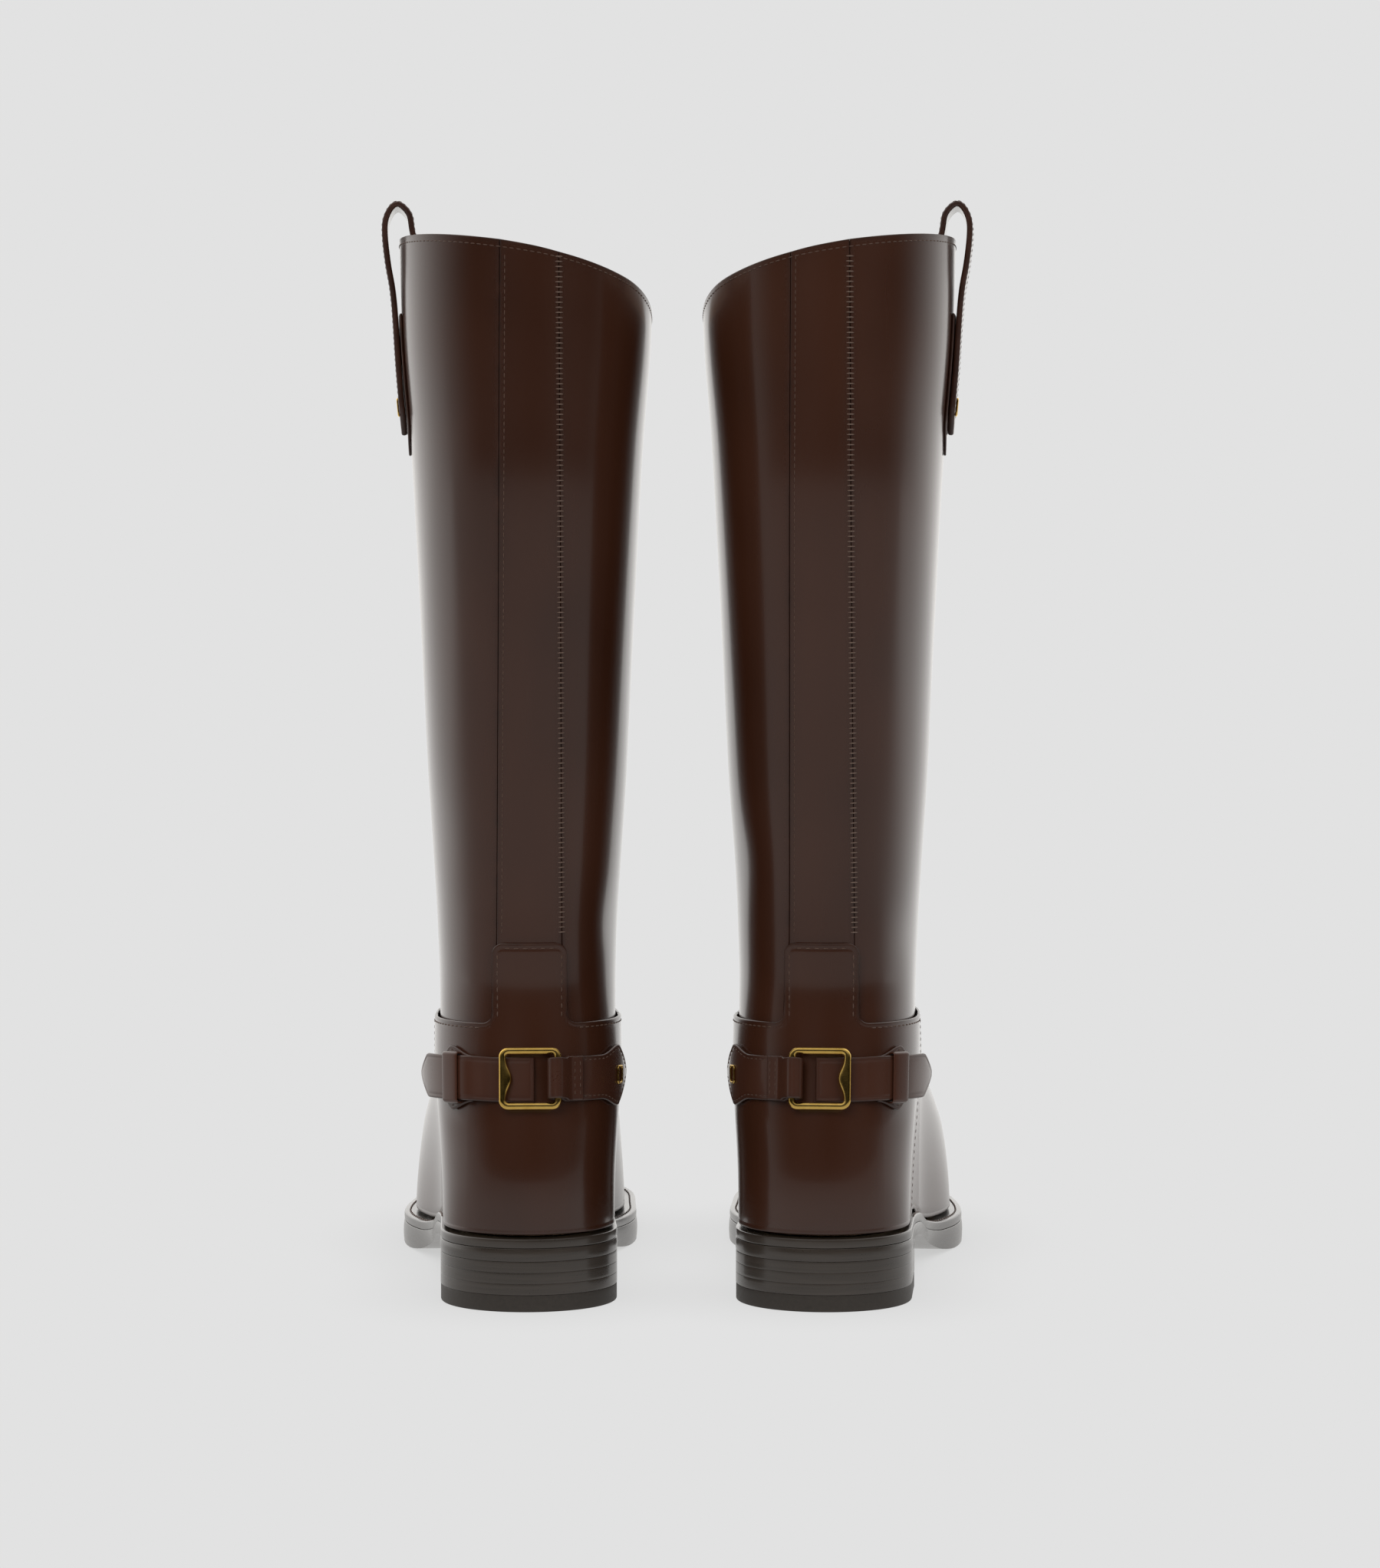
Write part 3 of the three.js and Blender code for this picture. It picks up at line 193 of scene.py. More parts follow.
back_end = through([
    [0, 0.125], [0.5, 0.17], [0.8, 0.26], [1, 0.36], [1.2, 0.46], [1.5, 0.5], [4.2, 0.5],
])
front_end = through([
    [0, 0.2], [0.25, 0.24], [0.52, 0.42], [0.82, 0.6], [1, 0.58], [1.2, 0.52], [1.5, 0.5], [4.2, 0.5],
])
rim = through([
    [-270, RIM_OUTER], [-180, RIM_FRONT], [-112, RIM_INNER - 2], [-90, RIM_INNER],
    [-48, mix(RIM_BACK, RIM_INNER, 0.48)], [0, RIM_BACK], [60, RIM_OUTER - 1.2], [90, RIM_OUTER],
    [180, RIM_FRONT],
])


# %% The surface and points off it
def together(*values):
    """The values as arrays of floats of one shape."""
    return np.broadcast_arrays(*(np.asarray(value, float) for value in values))


def round_end(q):
    """The rounded end of a level's outline: 1 - (1 - q)^p, under a root, up to its full width at q = 1."""
    return np.sqrt(1 - (1 - np.clip(q, 0, 1)) ** END_POWER)


def surface(level, angle):
    """The point at a level and an angle. Along is (1 - cos angle) / 2. x is the half width times both
    rounded ends, plus the foot's swing. y runs from the level's back to its front by along."""
    level, angle = together(level, angle)
    along = (1 - np.cos(angle)) / 2
    foot = 1 - smooth(level)
    half = mix(shaft_half(level), foot_half(along), foot)
    ends = round_end(along / back_end(level)) * round_end((1 - along) / front_end(level))
    x = half * ends * np.sign(np.sin(angle)) + foot_swing(along) * foot
    y = mix(back_of_level(level), front_of_level(level), along)
    base = seat(back_of_level(0) + FOOT_LENGTH * along) + SEAT_RISE
    rise = mix(level, front_rise(level), smooth((along - 0.45) / 0.55))
    z = np.where(level >= 1, ANKLE + (level - 1) * SHAFT_STEP, base + (ANKLE - base) * rise)
    return np.stack([x, y, z], -1)


def unit(vectors):
    return vectors / np.linalg.norm(vectors, axis=-1, keepdims=True)


def normal(level, angle):
    """The outward normal: the cross product of two short steps, round the leg and up it."""
    step = 0.004
    up = surface(level + step, angle) - surface(level - step, angle)
    round_leg = surface(level, angle + step) - surface(level, angle - step)
    return unit(np.cross(round_leg, up))


def outward(level, angle):
    """The normal, turned level beside the sole."""
    level, angle = together(level, angle)
    out = normal(level, angle)
    out[..., 2] *= smooth(level / 0.12)
    return unit(out)


def off_surface(level, angle, off):
    """The point at a distance off the surface, along the outward direction."""
    level, angle = together(level, angle)
    return surface(level, angle) + outward(level, angle) * np.asarray(off, float)[..., None]


def level_of_height(z, angle):
    along = (1 - np.cos(angle)) / 2
    base = seat(back_of_level(0) + FOOT_LENGTH * along) + SEAT_RISE
    return np.where(z >= ANKLE, 1 + (z - ANKLE) / SHAFT_STEP, (z - base) / (ANKLE - base))


def rim_level(angle):
    degrees = (np.degrees(angle) + 180) % 360 - 180
    return level_of_height(rim(degrees), angle)


HALVINGS = 36  # steps of a search by halving


def angle_across(level, across):
    """The angle at which a level lies a distance across from the centre line, found by halving."""
    level, across = together(level, across)
    low, high = np.zeros(level.shape), np.full(level.shape, np.pi / 2)
    for _ in range(HALVINGS):
        middle = (low + high) / 2
        inside = surface(level, middle)[..., 0] < across
        low, high = np.where(inside, middle, low), np.where(inside, high, middle)
    return low


print("ankle is", surface(1, np.pi / 2)[0] * 2, "mm wide")

# %% [markdown]
# ## How leather gives
#
# Real calf never stays a perfect tube. The ankle takes soft dents where the leg bends, and the shaft
# waves a little. A sum of a few broad bells is added to the offset of every shaft layer at once, so that
# the strip, the panel and the lining keep lying on each other.

# %% The shaft's soft dents
DENTS = {  # level, angle in degrees, depth in mm, height in levels, width in degrees
    "right": [(1.62, -58, -1.0, 0.16, 20), (1.3, 66, -0.7, 0.14, 18), (2.3, -30, -0.35, 0.5, 24),
              (1.5, 180, -1.6, 0.2, 40), (1.95, 170, 0.8, 0.2, 45)],
    "left": [(1.36, -62, -0.8, 0.14, 18), (1.75, 60, -0.5, 0.2, 20), (2.6, 34, -0.35, 0.5, 24),
             (1.46, 176, -1.5, 0.2, 42), (1.9, 186, 0.7, 0.2, 45)],
}


def give(side, level, angle):
    """The sum of the dents, each a bell exp(-(dl/h)^2 - (da/w)^2), with angles taken the short way."""
    level, angle = together(level, angle)
    total = np.zeros(level.shape)
    for at, degrees, depth, height, width in DENTS[side]:
        apart = (np.degrees(angle) - degrees + 180) % 360 - 180
        total = total + depth * np.exp(-(((level - at) / height) ** 2) - (apart / width) ** 2)
    return total * smooth((level - 1.06) / 0.3)


# %% [markdown]
# ## A mesh from a grid
#
# A sheet of leather has two faces and one cut edge that runs all round it. Both faces are offset from one
# middle grid along its own normals. The offset falls to nothing over the last half millimetre before the
# edge, on a quarter circle, so the two faces meet in a rounded, burnished edge and the piece is closed.
# A stitch channel is a shallow valley at one distance from that edge.

# %% Grids into closed meshes
COAT_EDGE = "edge_wear"  # 1 at a piece's cut edge, falling inwards


def quads_of(index):
    """The quads between neighbouring rows and columns of a grid of vertex numbers."""
    corners = [index[:-1, :-1], index[:-1, 1:], index[1:, 1:], index[1:, :-1]]
    return np.stack(corners, -1).reshape(-1, 4)


def looped(points):
    """The quads of a grid that closes on itself both ways."""
    rows, columns = points.shape[:2]
    index = np.arange(rows * columns).reshape(rows, columns)
    return quads_of(np.pad(index, ((0, 1), (0, 1)), mode="wrap"))


def piece(name, side, points, quads, wear=None, weld=False):
    """A mesh object in the row frame. Its faces are turned outwards by the sign of its volume, the sum of
    a . (b x c) over its triangles."""
    place = in_row(side, points)
    a, b, c, d = (place[quads[:, i]] for i in range(4))
    volume = np.sum(a * np.cross(b, c)) + np.sum(a * np.cross(c, d))
    faces = quads if volume > 0 else quads[:, ::-1]
    mesh = bpy.data.meshes.new(name)
    mesh.from_pydata(place.tolist(), [], faces.tolist())
    if wear is not None:
        mesh.attributes.new(COAT_EDGE, "FLOAT", "POINT").data.foreach_set("value", np.float32(wear))
    if weld:
        work = bmesh.new()
        work.from_mesh(mesh)
        bmesh.ops.remove_doubles(work, verts=work.verts, dist=5e-6)
        bmesh.ops.dissolve_degenerate(work, edges=work.edges, dist=1e-7)
        work.to_mesh(mesh)
        work.free()
    mesh.shade_smooth()
    made = bpy.data.objects.new(f"{side}_{name}", mesh)
    bpy.context.scene.collection.objects.link(made)
    return made


def edge_distance(middle):
    """Each grid point's distance to the nearest point of the grid's border, by |p|^2 + |b|^2 - 2 p.b."""
    border = np.concatenate([middle[0], middle[-1], middle[:, 0], middle[:, -1]])
    flat = middle.reshape(-1, 3)
    square = (flat**2).sum(1)[:, None] + (border**2).sum(1)[None] - 2 * flat @ border.T
    return np.sqrt(np.maximum(square.min(1), 0)).reshape(middle.shape[:2])


def grid_normals(middle):
    """Unit normals of a grid: its change along the rows crossed with its change along the columns."""
    return unit(np.cross(np.gradient(middle, axis=1), np.gradient(middle, axis=0)))


def sheet(name, side, middle, thick, edge=0.55, channel=None, normals=None):
    """A closed sheet about a middle grid. Both faces lie half the thickness off it along the normals, or
    along the grid's own where none are given, times the quarter circle of the distance to the border.
    The channel is (distance, half width, depth), on the outer face."""
    distance = edge_distance(middle)
    rise = np.sqrt(1 - (1 - np.clip(distance / edge, 0, 1)) ** 2)
    rise[0], rise[-1], rise[:, 0], rise[:, -1] = 0, 0, 0, 0
    if normals is None:
        normals = grid_normals(middle)
    face = thick / 2 * rise
    if channel:
        where, half, depth = channel
        valley = depth * np.exp(-(((distance - where) / half) ** 2))
    else:
        valley = 0
    outer = middle + normals * (face - valley * rise)[..., None]
    inner = middle - normals * face[..., None]
    rows, columns = middle.shape[:2]
    front = np.arange(rows * columns).reshape(rows, columns)
    back = front.copy()
    back[1:-1, 1:-1] = rows * columns + np.arange((rows - 2) * (columns - 2)).reshape(rows - 2, columns - 2)
    points = np.concatenate([outer.reshape(-1, 3), inner[1:-1, 1:-1].reshape(-1, 3)])
    wear = np.exp(-distance / 1.1)
    wear = np.concatenate([wear.ravel(), wear[1:-1, 1:-1].ravel()])
    quads = np.concatenate([quads_of(front), quads_of(back)[:, ::-1]])
    return piece(name, side, points, quads, wear)


def edge_stops(length, step, near=(0, 0.08, 0.25, 0.5, 0.85, 1.3, 1.7, 2.1, 2.6, 3.3)):
    """Shares from 0 to 1 of a side: close together where its ends round over, and a step apart between."""
    near = np.array(near)
    count = max(2, round((length - 2 * near[-1]) / step) + 1)
    middle = np.linspace(near[-1], length - near[-1], count)
    return np.concatenate([near[:-1], middle, (length - near[-2::-1])]) / length


# %% [markdown]
# ## Finishes
#
# Every finish is a small network of nodes. Writing it as a drawing of wires hides what it computes, so a
# wire here is a Python value: adding or multiplying two wires adds the Math node that does it, and the
# finish reads like the formula that it is.

# %% A wire with arithmetic, and a bench that makes nodes
class Wire:
    """An output socket of a material, with arithmetic."""

    def __init__(self, bench, socket):
        self.bench, self.socket = bench, socket

    def math(self, operation, first, second=None):
        values = {0: first} if second is None else {0: first, 1: second}
        return self.bench.node("ShaderNodeMath", {"operation": operation}, values)

    def __add__(self, other):
        return self.math("ADD", self, other)

    def __sub__(self, other):
        return self.math("SUBTRACT", self, other)

    def __rsub__(self, other):
        return self.math("SUBTRACT", other, self)

    def __mul__(self, other):
        return self.math("MULTIPLY", self, other)

    def __pow__(self, other):
        return self.math("POWER", self, other)

    __radd__, __rmul__ = __add__, __mul__

    def clamped(self):
        return self.math("MINIMUM", self.math("MAXIMUM", self, 0), 1)


class Bench:
    """A material and its nodes."""

    def __init__(self, name):
        self.material = bpy.data.materials.new(name)
        self.material.use_nodes = True
        self.tree = self.material.node_tree
        self.shader = next(n for n in self.tree.nodes if n.type == "BSDF_PRINCIPLED")

    def put(self, socket, value):
        if isinstance(value, Wire):
            self.tree.links.new(value.socket, socket)
        else:
            socket.default_value = value

    def node(self, kind, settings, sockets, out=0):
        """Adds a node: its settings first, a ramp's stops among them, then its sockets' values or wires."""
        made = self.tree.nodes.new(kind)
        for key, value in settings.items():
            if key == "stops":
                ramp = made.color_ramp.elements
                for spot, colour in zip(ramp, value):
                    spot.position, spot.color = colour
                for position, colour in value[len(ramp):]:
                    ramp.new(position).color = colour
            else:
                setattr(made, key, value)
        for key, value in sockets.items():
            self.put(made.inputs[key], value)
        return Wire(self, made.outputs[out])

    def place(self, scale):
        """Object coordinates, stretched by a scale along each axis."""
        here = self.node("ShaderNodeTexCoord", {}, {}, "Object")
        return self.node("ShaderNodeMapping", {}, {"Vector": here, "Scale": scale})

    def noise(self, scale, stretch=(1, 1, 1), detail=3.0, roughness=0.5):
        sockets = {"Vector": self.place(stretch), "Scale": scale, "Detail": detail, "Roughness": roughness}
        return self.node("ShaderNodeTexNoise", {}, sockets, "Fac")

    def blend(self, amount, first, second):
        """A colour between two, through a Mix node."""
        settings = {"data_type": "RGBA"}
        return self.node("ShaderNodeMix", settings, {"Factor": amount, 6: first, 7: second}, 2)

    def attribute(self, name):
        return self.node("ShaderNodeAttribute", {"attribute_name": name}, {}, "Fac")

    def bump(self, height, strength, distance):
        sockets = {"Height": height, "Strength": strength, "Distance": distance}
        return self.node("ShaderNodeBump", {}, sockets)

    def finish(self, **sockets):
        for name, value in sockets.items():
            self.put(self.shader.inputs[name.replace("_", " ")], value)
        return self.material


def shade(red, green, blue):
    return (red, green, blue, 1.0)


# %% [markdown]
# ## Polished calf
#
# Boot calf is drum-dyed dark brown and burnished by hand, so its colour drifts between red and violet
# brown over a few centimetres, with faint streaks that run up the leg. A wax polish lies on top as a clear
# coat. The pores are under a millimetre wide and only just break the highlight, and the cut edges are
# inked darker.

# %% The leathers
def polished_leather(name, deep, warm, gloss, grain=1.0, coat=0.35):
    bench = Bench(name)
    drift = bench.noise(11, detail=2.0)
    streak = bench.noise(26, stretch=(1, 1, 0.12), detail=4.0)
    tone = ((drift - 0.5) * 1.5 + (streak - 0.5) * 0.7 + 0.5).clamped()
    colour = bench.blend(tone, shade(*deep), shade(*warm))
    edge = bench.attribute(COAT_EDGE)
    rub = (bench.noise(160, detail=4.0) - 0.35).clamped()
    inked = bench.blend((edge * 0.75).clamped(), colour, shade(*(0.45 * value for value in deep)))
    worn = bench.blend((edge * rub * 0.5).clamped(), inked, shade(*(2.2 * value for value in warm)))
    pores = bench.node("ShaderNodeTexVoronoi", {"feature": "SMOOTH_F1"},
                       {"Vector": bench.place((1, 1, 1)), "Scale": 1300.0, "Smoothness": 0.6}, "Distance")
    fine = bench.noise(900, detail=5.0, roughness=0.65)
    creases = bench.noise(70, detail=5.0, roughness=0.6)
    height = pores * 0.35 * grain + fine * 0.12 * grain + creases * 0.5
    rough = gloss + (drift - 0.5) * 0.07 + (fine - 0.5) * 0.06 + edge * 0.16
    return bench.finish(Base_Color=worn, Roughness=rough.clamped(), Coat_Weight=coat, Coat_Roughness=0.1,
                        Coat_IOR=1.45, Specular_IOR_Level=0.5, Normal=bench.bump(height, 0.1, 0.00015))


calf = polished_leather("polished_calf", (0.027, 0.0088, 0.0042), (0.052, 0.0180, 0.0092), 0.24)
strap_calf = polished_leather("strap_calf", (0.034, 0.0120, 0.0070), (0.060, 0.0215, 0.0120), 0.28,
                              grain=1.3, coat=0.3)


def lining_leather():
    """Undyed lining: matt, with a loose nap and a darker drift where it has been handled."""
    bench = Bench("lining_leather")
    drift = bench.noise(18, detail=3.0)
    nap = bench.noise(1500, detail=4.0, roughness=0.7)
    tone = ((drift - 0.5) * 1.2 + (nap - 0.5) * 0.5 + 0.5).clamped()
    colour = bench.blend(tone, shade(0.16, 0.085, 0.045), shade(0.27, 0.16, 0.09))
    return bench.finish(Base_Color=colour, Roughness=(0.62 + nap * 0.2).clamped(), Sheen_Weight=0.2,
                        Normal=bench.bump(nap, 0.3, 0.0002))


lining = lining_leather()

# %% [markdown]
# ## Sole edge, rubber, brass and thread
#
# A heel is a stack of leather lifts, trimmed flush, inked and burnished with hot wax, so its wall shows
# faint level lines under a soft gloss. The last layer is rubber. The buckle is cast brass, polished by
# hand, with hairlines and a tone that drifts between a browner and a paler gold. The thread is waxed linen.

# %% The other finishes
def burnished_edge(name, deep, pale, gloss):
    bench = Bench(name)
    layers = bench.noise(30, stretch=(1, 1, 26), detail=4.0, roughness=0.6)
    drift = bench.noise(24, detail=3.0)
    fibre = bench.noise(1100, detail=4.0)
    tone = ((layers - 0.5) * 1.6 + (drift - 0.5) * 0.8 + 0.5).clamped()
    colour = bench.blend(tone, shade(*deep), shade(*pale))
    rough = gloss + (layers - 0.5) * 0.12 + (fibre - 0.5) * 0.1
    height = layers * 0.7 + fibre * 0.3
    return bench.finish(Base_Color=colour, Roughness=rough.clamped(), Coat_Weight=0.5, Coat_Roughness=0.16,
                        Normal=bench.bump(height, 0.15, 0.0002))


def top_rubber():
    bench = Bench("top_piece_rubber")
    fleck = bench.noise(700, detail=4.0)
    colour = bench.blend(fleck, shade(0.020, 0.0165, 0.0135), shade(0.040, 0.0325, 0.027))
    return bench.finish(Base_Color=colour, Roughness=(0.42 + fleck * 0.2).clamped(),
                        Normal=bench.bump(fleck, 0.25, 0.0002))


def polished_brass():
    bench = Bench("polished_brass")
    drift = bench.noise(240, detail=3.0)
    hairs = bench.noise(600, stretch=(1, 1, 9), detail=4.0)
    tone = ((drift - 0.5) * 1.3 + 0.5).clamped()
    colour = bench.blend(tone, shade(0.66, 0.41, 0.085), shade(0.90, 0.62, 0.19))
    rough = 0.2 + (hairs - 0.5) * 0.16 + (drift - 0.5) * 0.1
    return bench.finish(Base_Color=colour, Metallic=1.0, Roughness=rough.clamped(),
                        Normal=bench.bump(hairs, 0.12, 0.00008))


def waxed_thread(name, deep, pale):
    bench = Bench(name)
    twist = bench.noise(1800, stretch=(1, 1, 0.5), detail=2.0)
    colour = bench.blend(twist, shade(*deep), shade(*pale))
    return bench.finish(Base_Color=colour, Roughness=(0.42 + twist * 0.2).clamped(),
                        Normal=bench.bump(twist, 0.4, 0.0001))


def plain_board(name, deep, pale, rough, metallic=0.0):
    """The finish of a hidden piece: board, cork or spring steel, speckled at its own scale."""
    bench = Bench(name)
    speck = bench.noise(420, detail=5.0, roughness=0.7)
    colour = bench.blend(speck, shade(*deep), shade(*pale))
    return bench.finish(Base_Color=colour, Metallic=metallic, Roughness=(rough + speck * 0.2).clamped(),
                        Normal=bench.bump(speck, 0.3, 0.0003))


sole_edge = burnished_edge("burnished_sole_edge", (0.024, 0.0185, 0.0145), (0.046, 0.036, 0.029), 0.3)
rubber = top_rubber()
brass = polished_brass()
thread = waxed_thread("waxed_thread", (0.050, 0.026, 0.018), (0.105, 0.060, 0.042))
pale_thread = waxed_thread("pale_thread", (0.085, 0.052, 0.038), (0.17, 0.115, 0.09))
board = plain_board("leather_board", (0.30, 0.20, 0.11), (0.50, 0.36, 0.22), 0.7)
cork = plain_board("granulated_cork", (0.24, 0.12, 0.05), (0.52, 0.33, 0.17), 0.75)
steel = plain_board("spring_steel", (0.25, 0.26, 0.27), (0.38, 0.39, 0.40), 0.25, 1.0)
print("finishes", len(bpy.data.materials))


def dress(made, material, side, slot, *nodes, body="boot"):
    """Gives a piece its finish and its body, and hides the frame's nodes that it stands for. The slot is
    not used.
    """
    made.data.materials.append(material)
    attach(made, f"{side}_{body}")
    if nodes:
        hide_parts(*(f"{side}_{node}" for node in nodes))
    return made


# %% [markdown]
# ## The shaft
#
# The leg is one wrapped panel and a narrow back strip, sewn edge to edge. Both follow the surface with the
# dents added. The rim is high on the outer side and cut away towards the inner side, so each column of the
# grid ends at its own height.

# %% Shaft panel, back strip and lining
LEATHER, LAYER_GAP, LINING = 1.4, 0.9, 0.9
SHAFT_LAP = 5.0
SEAM_GAP, SEAM_EDGE = 0.05, 0.3
STRIP_HALF_TOP, STRIP_HALF_BOTTOM = 11.2, 12.6
shaft_foot = float(level_of_height(ANKLE - SHAFT_LAP, 0))


def strip_half(level):
    return mix(STRIP_HALF_BOTTOM, STRIP_HALF_TOP, np.clip((level - 1.3) / 2.7, 0, 1))


def shaft_grid(side, columns, rows, left, right):
    """Middle points and normals of a shaft piece. Its rows climb from behind the counter cover to the
    rim, and its columns turn from one seam to the other."""
    share, climb = np.meshgrid(columns, rows)
    top = rim_level(mix(left(3.0), right(3.0), share))
    level = mix(shaft_foot, top, climb)
    angle = mix(left(level), right(level), share)
    return off_surface(level, angle, give(side, level, angle) - LEATHER / 2), outward(level, angle)


def seam(level, extra):
    return angle_across(level, strip_half(level) + extra)


for side in BOOTS:
    climbs = edge_stops(300, 3.2)
    grid, outwards = shaft_grid(side, edge_stops(330, 3.2), climbs,
                                lambda level: seam(level, SEAM_GAP / 2),
                                lambda level: 2 * np.pi - seam(level, SEAM_GAP / 2))
    panel = sheet("shaft_panel_leather", side, grid, LEATHER, edge=SEAM_EDGE, normals=outwards)
    dress(panel, calf, side, "outer_leather", "shaft_panel")
    grid, outwards = shaft_grid(side, edge_stops(24, 2.0), climbs,
                                lambda level: -seam(level, -SEAM_GAP / 2),
                                lambda level: seam(level, -SEAM_GAP / 2))
    strip = sheet("back_strip_leather", side, grid, LEATHER, edge=SEAM_EDGE, normals=outwards)
    dress(strip, calf, side, "outer_leather", "back_strip")
    print(side, "shaft", len(panel.data.polygons) + len(strip.data.polygons), "quads")


def ring(name, side, section, columns=160):
    """A closed band round the boot. The section is a list of (level of angle, offset) that goes once round
    the band's own cross-section."""
    angle = np.linspace(0, 2 * np.pi, columns, endpoint=False)
    rows = []
    for level, off in section:
        here = level(angle) if callable(level) else np.full(columns, level)
        rows.append(off_surface(here, angle, off + give(side, here, angle)))
    points = np.stack(rows)
    return piece(name, side, points.reshape(-1, 3), looped(points))


def lining_section(low, high, outer, inner, count):
    """Up the outer face, over a round top and down the inner face."""
    climb = np.linspace(0, 1, count)

    def at(share):
        return lambda angle: mix(low, high(angle), share)

    up = [(at(q), outer) for q in climb]
    top = [(at(1 + 0.0016), mix(outer, inner, q)) for q in (0.3, 0.7)]
    down = [(at(q), inner) for q in climb[::-1]]
    return up + top + down


for side in BOOTS:
    section = lining_section(1.004, lambda angle: rim_level(angle) - 0.008, -LEATHER - 0.03,
                             -LEATHER - LAYER_GAP - LINING, 60)
    inside = ring("shaft_lining_leather", side, section)
    dress(inside, lining, side, "lining_leather", "shaft_lining")

# %% [markdown]
# ## Counter cover and vamp
#
# The counter cover wraps the heel. Its top edge is the ankle seam, with a round-cornered tongue that
# climbs the back of the leg. The grid's columns fan out to that edge, so that each of them ends square on
# it and the corners stay crisp. The vamp takes the rest of the foot, from one side seam to the other.

# %% Counter cover and vamp
COVER, VAMP, UPPER_OFF = 1.4, 1.0, 0.8
UPPER_FACE = UPPER_OFF + COVER
TONGUE_TOP, TONGUE_HALF, TONGUE_CORNER, TONGUE_FILLET = 140.0, 13.5, 4.0, 4.0
LASTED_EDGE = 0.014


def cover_edge(level):
    """The angle of the side seam: the share along the foot goes from 0.215 at the sole to 0.4."""
    return np.arccos(1 - 2 * mix(0.215, 0.4, np.clip(level, 0, 1)))


def tongue_outline():
    """Half of the tongue's edge as (across, height): the crown, a round corner, the side and a fillet that
    runs out into the ankle seam. Corner and fillet are quarter circles."""
    turn = np.linspace(0, np.pi / 2, 10)
    flat = TONGUE_HALF - TONGUE_CORNER
    crown = np.stack([np.linspace(0, flat, 8)[:-1], np.full(7, TONGUE_TOP)], -1)
    corner = np.stack([flat + TONGUE_CORNER * np.sin(turn),
                       TONGUE_TOP - TONGUE_CORNER * (1 - np.cos(turn))], -1)
    height = np.linspace(TONGUE_TOP - TONGUE_CORNER, ANKLE + TONGUE_FILLET, 20)[1:-1]
    wall = np.stack([np.full(18, TONGUE_HALF), height], -1)
    fillet = np.stack([TONGUE_HALF + TONGUE_FILLET * (1 - np.cos(turn)),
                       ANKLE + TONGUE_FILLET * (1 - np.sin(turn))], -1)
    return np.concatenate([crown, corner, wall, fillet])


FAN_HEIGHT = ANKLE - 15  # where the columns begin to fan out to the tongue's edge


def cover_grid():
    """Level and angle of each point. Below the fan height the columns stand at even angles. Above it each
    column runs straight to its own point of the top edge."""
    edge = tongue_outline()
    length = np.concatenate([[0], np.cumsum(np.linalg.norm(np.diff(edge, axis=0), axis=1))])
    top_level = level_of_height(edge[:, 1], 0)
    top_angle = angle_across(top_level, edge[:, 0])
    foot_angle = angle_across(1.0, length / length[-1] * (TONGUE_HALF + TONGUE_FILLET))
    full = float(cover_edge(1.0))
    shares = edge_stops(110, 2.6)
    half_way = np.searchsorted(shares, 0.5)
    beside = mix(top_angle[-1], full, (shares[half_way:] - 0.5) * 2)[1:]
    top_angle = np.concatenate([top_angle, beside])
    foot_angle = np.concatenate([foot_angle, beside])
    top_level = np.concatenate([top_level, np.ones(len(beside))])
    top_angle, foot_angle = (np.concatenate([-a[:0:-1], a]) for a in (top_angle, foot_angle))
    top_level = np.concatenate([top_level[:0:-1], top_level])
    low = edge_stops(150, 2.6)
    low = low[low < 0.5] * 2
    high = 1 - edge_stops(60, 1.4)
    high = np.sort(high[high > 0.5]) * 2 - 1
    fan_level = float(level_of_height(FAN_HEIGHT, 0))
    low_level = mix(LASTED_EDGE, fan_level, low[:, None]) + 0 * foot_angle
    low_angle = foot_angle + 0 * low[:, None]
    high = np.concatenate([[0], high])[:, None]
    level = np.concatenate([low_level, mix(fan_level, top_level, high)])
    angle = np.concatenate([low_angle, mix(foot_angle, top_angle, high)])
    slant = mix(1, cover_edge(level) / full, smooth(np.abs(angle) / full))
    return level, angle * slant


def vamp_grid():
    share, climb = np.meshgrid(edge_stops(400, 3.4), edge_stops(120, 2.8))
    level = mix(LASTED_EDGE, 1.0, climb)
    gap = 0.4 / float(shaft_half(1))
    edge = cover_edge(level) + gap
    return level, mix(edge, 2 * np.pi - edge, share)


CHANNEL = (2.0, 0.55, 0.14)
for side in BOOTS:
    level, angle = cover_grid()
    cover = sheet("counter_cover_leather", side, off_surface(level, angle, UPPER_OFF + COVER / 2), COVER,
                  edge=0.6, channel=CHANNEL, normals=outward(level, angle))
    dress(cover, calf, side, "outer_leather", "counter_cover")
    level, angle = vamp_grid()
    vamp = sheet("vamp_leather", side, off_surface(level, angle, UPPER_OFF + VAMP / 2), VAMP,
                 edge=0.5, channel=CHANNEL, normals=outward(level, angle))
    dress(vamp, calf, side, "outer_leather", "vamp")
    print(side, "foot", len(cover.data.polygons) + len(vamp.data.polygons), "quads")

# %% [markdown]
# ## Welt, outsole and heel
#
# These layers follow one plan, the outline of the upper at the sole, at a distance that grows from the
# heel to the ball. A layer is a section carried round that plan. The welt is open in the middle, so its
# section is a loop of its own, and the others are filled across.

# %% Sole layers
LIFTS = 3
TOP_PIECE = 6.5
WELT_INNER = 8.0
welt_out = through([[0, 0.9], [0.2, 0.9], [0.34, 2.4], [0.5, 4], [0.7, 4.6], [1, 4.6]])


def welt_edge(angle):
    return UPPER_FACE + welt_out((1 - np.cos(angle)) / 2)


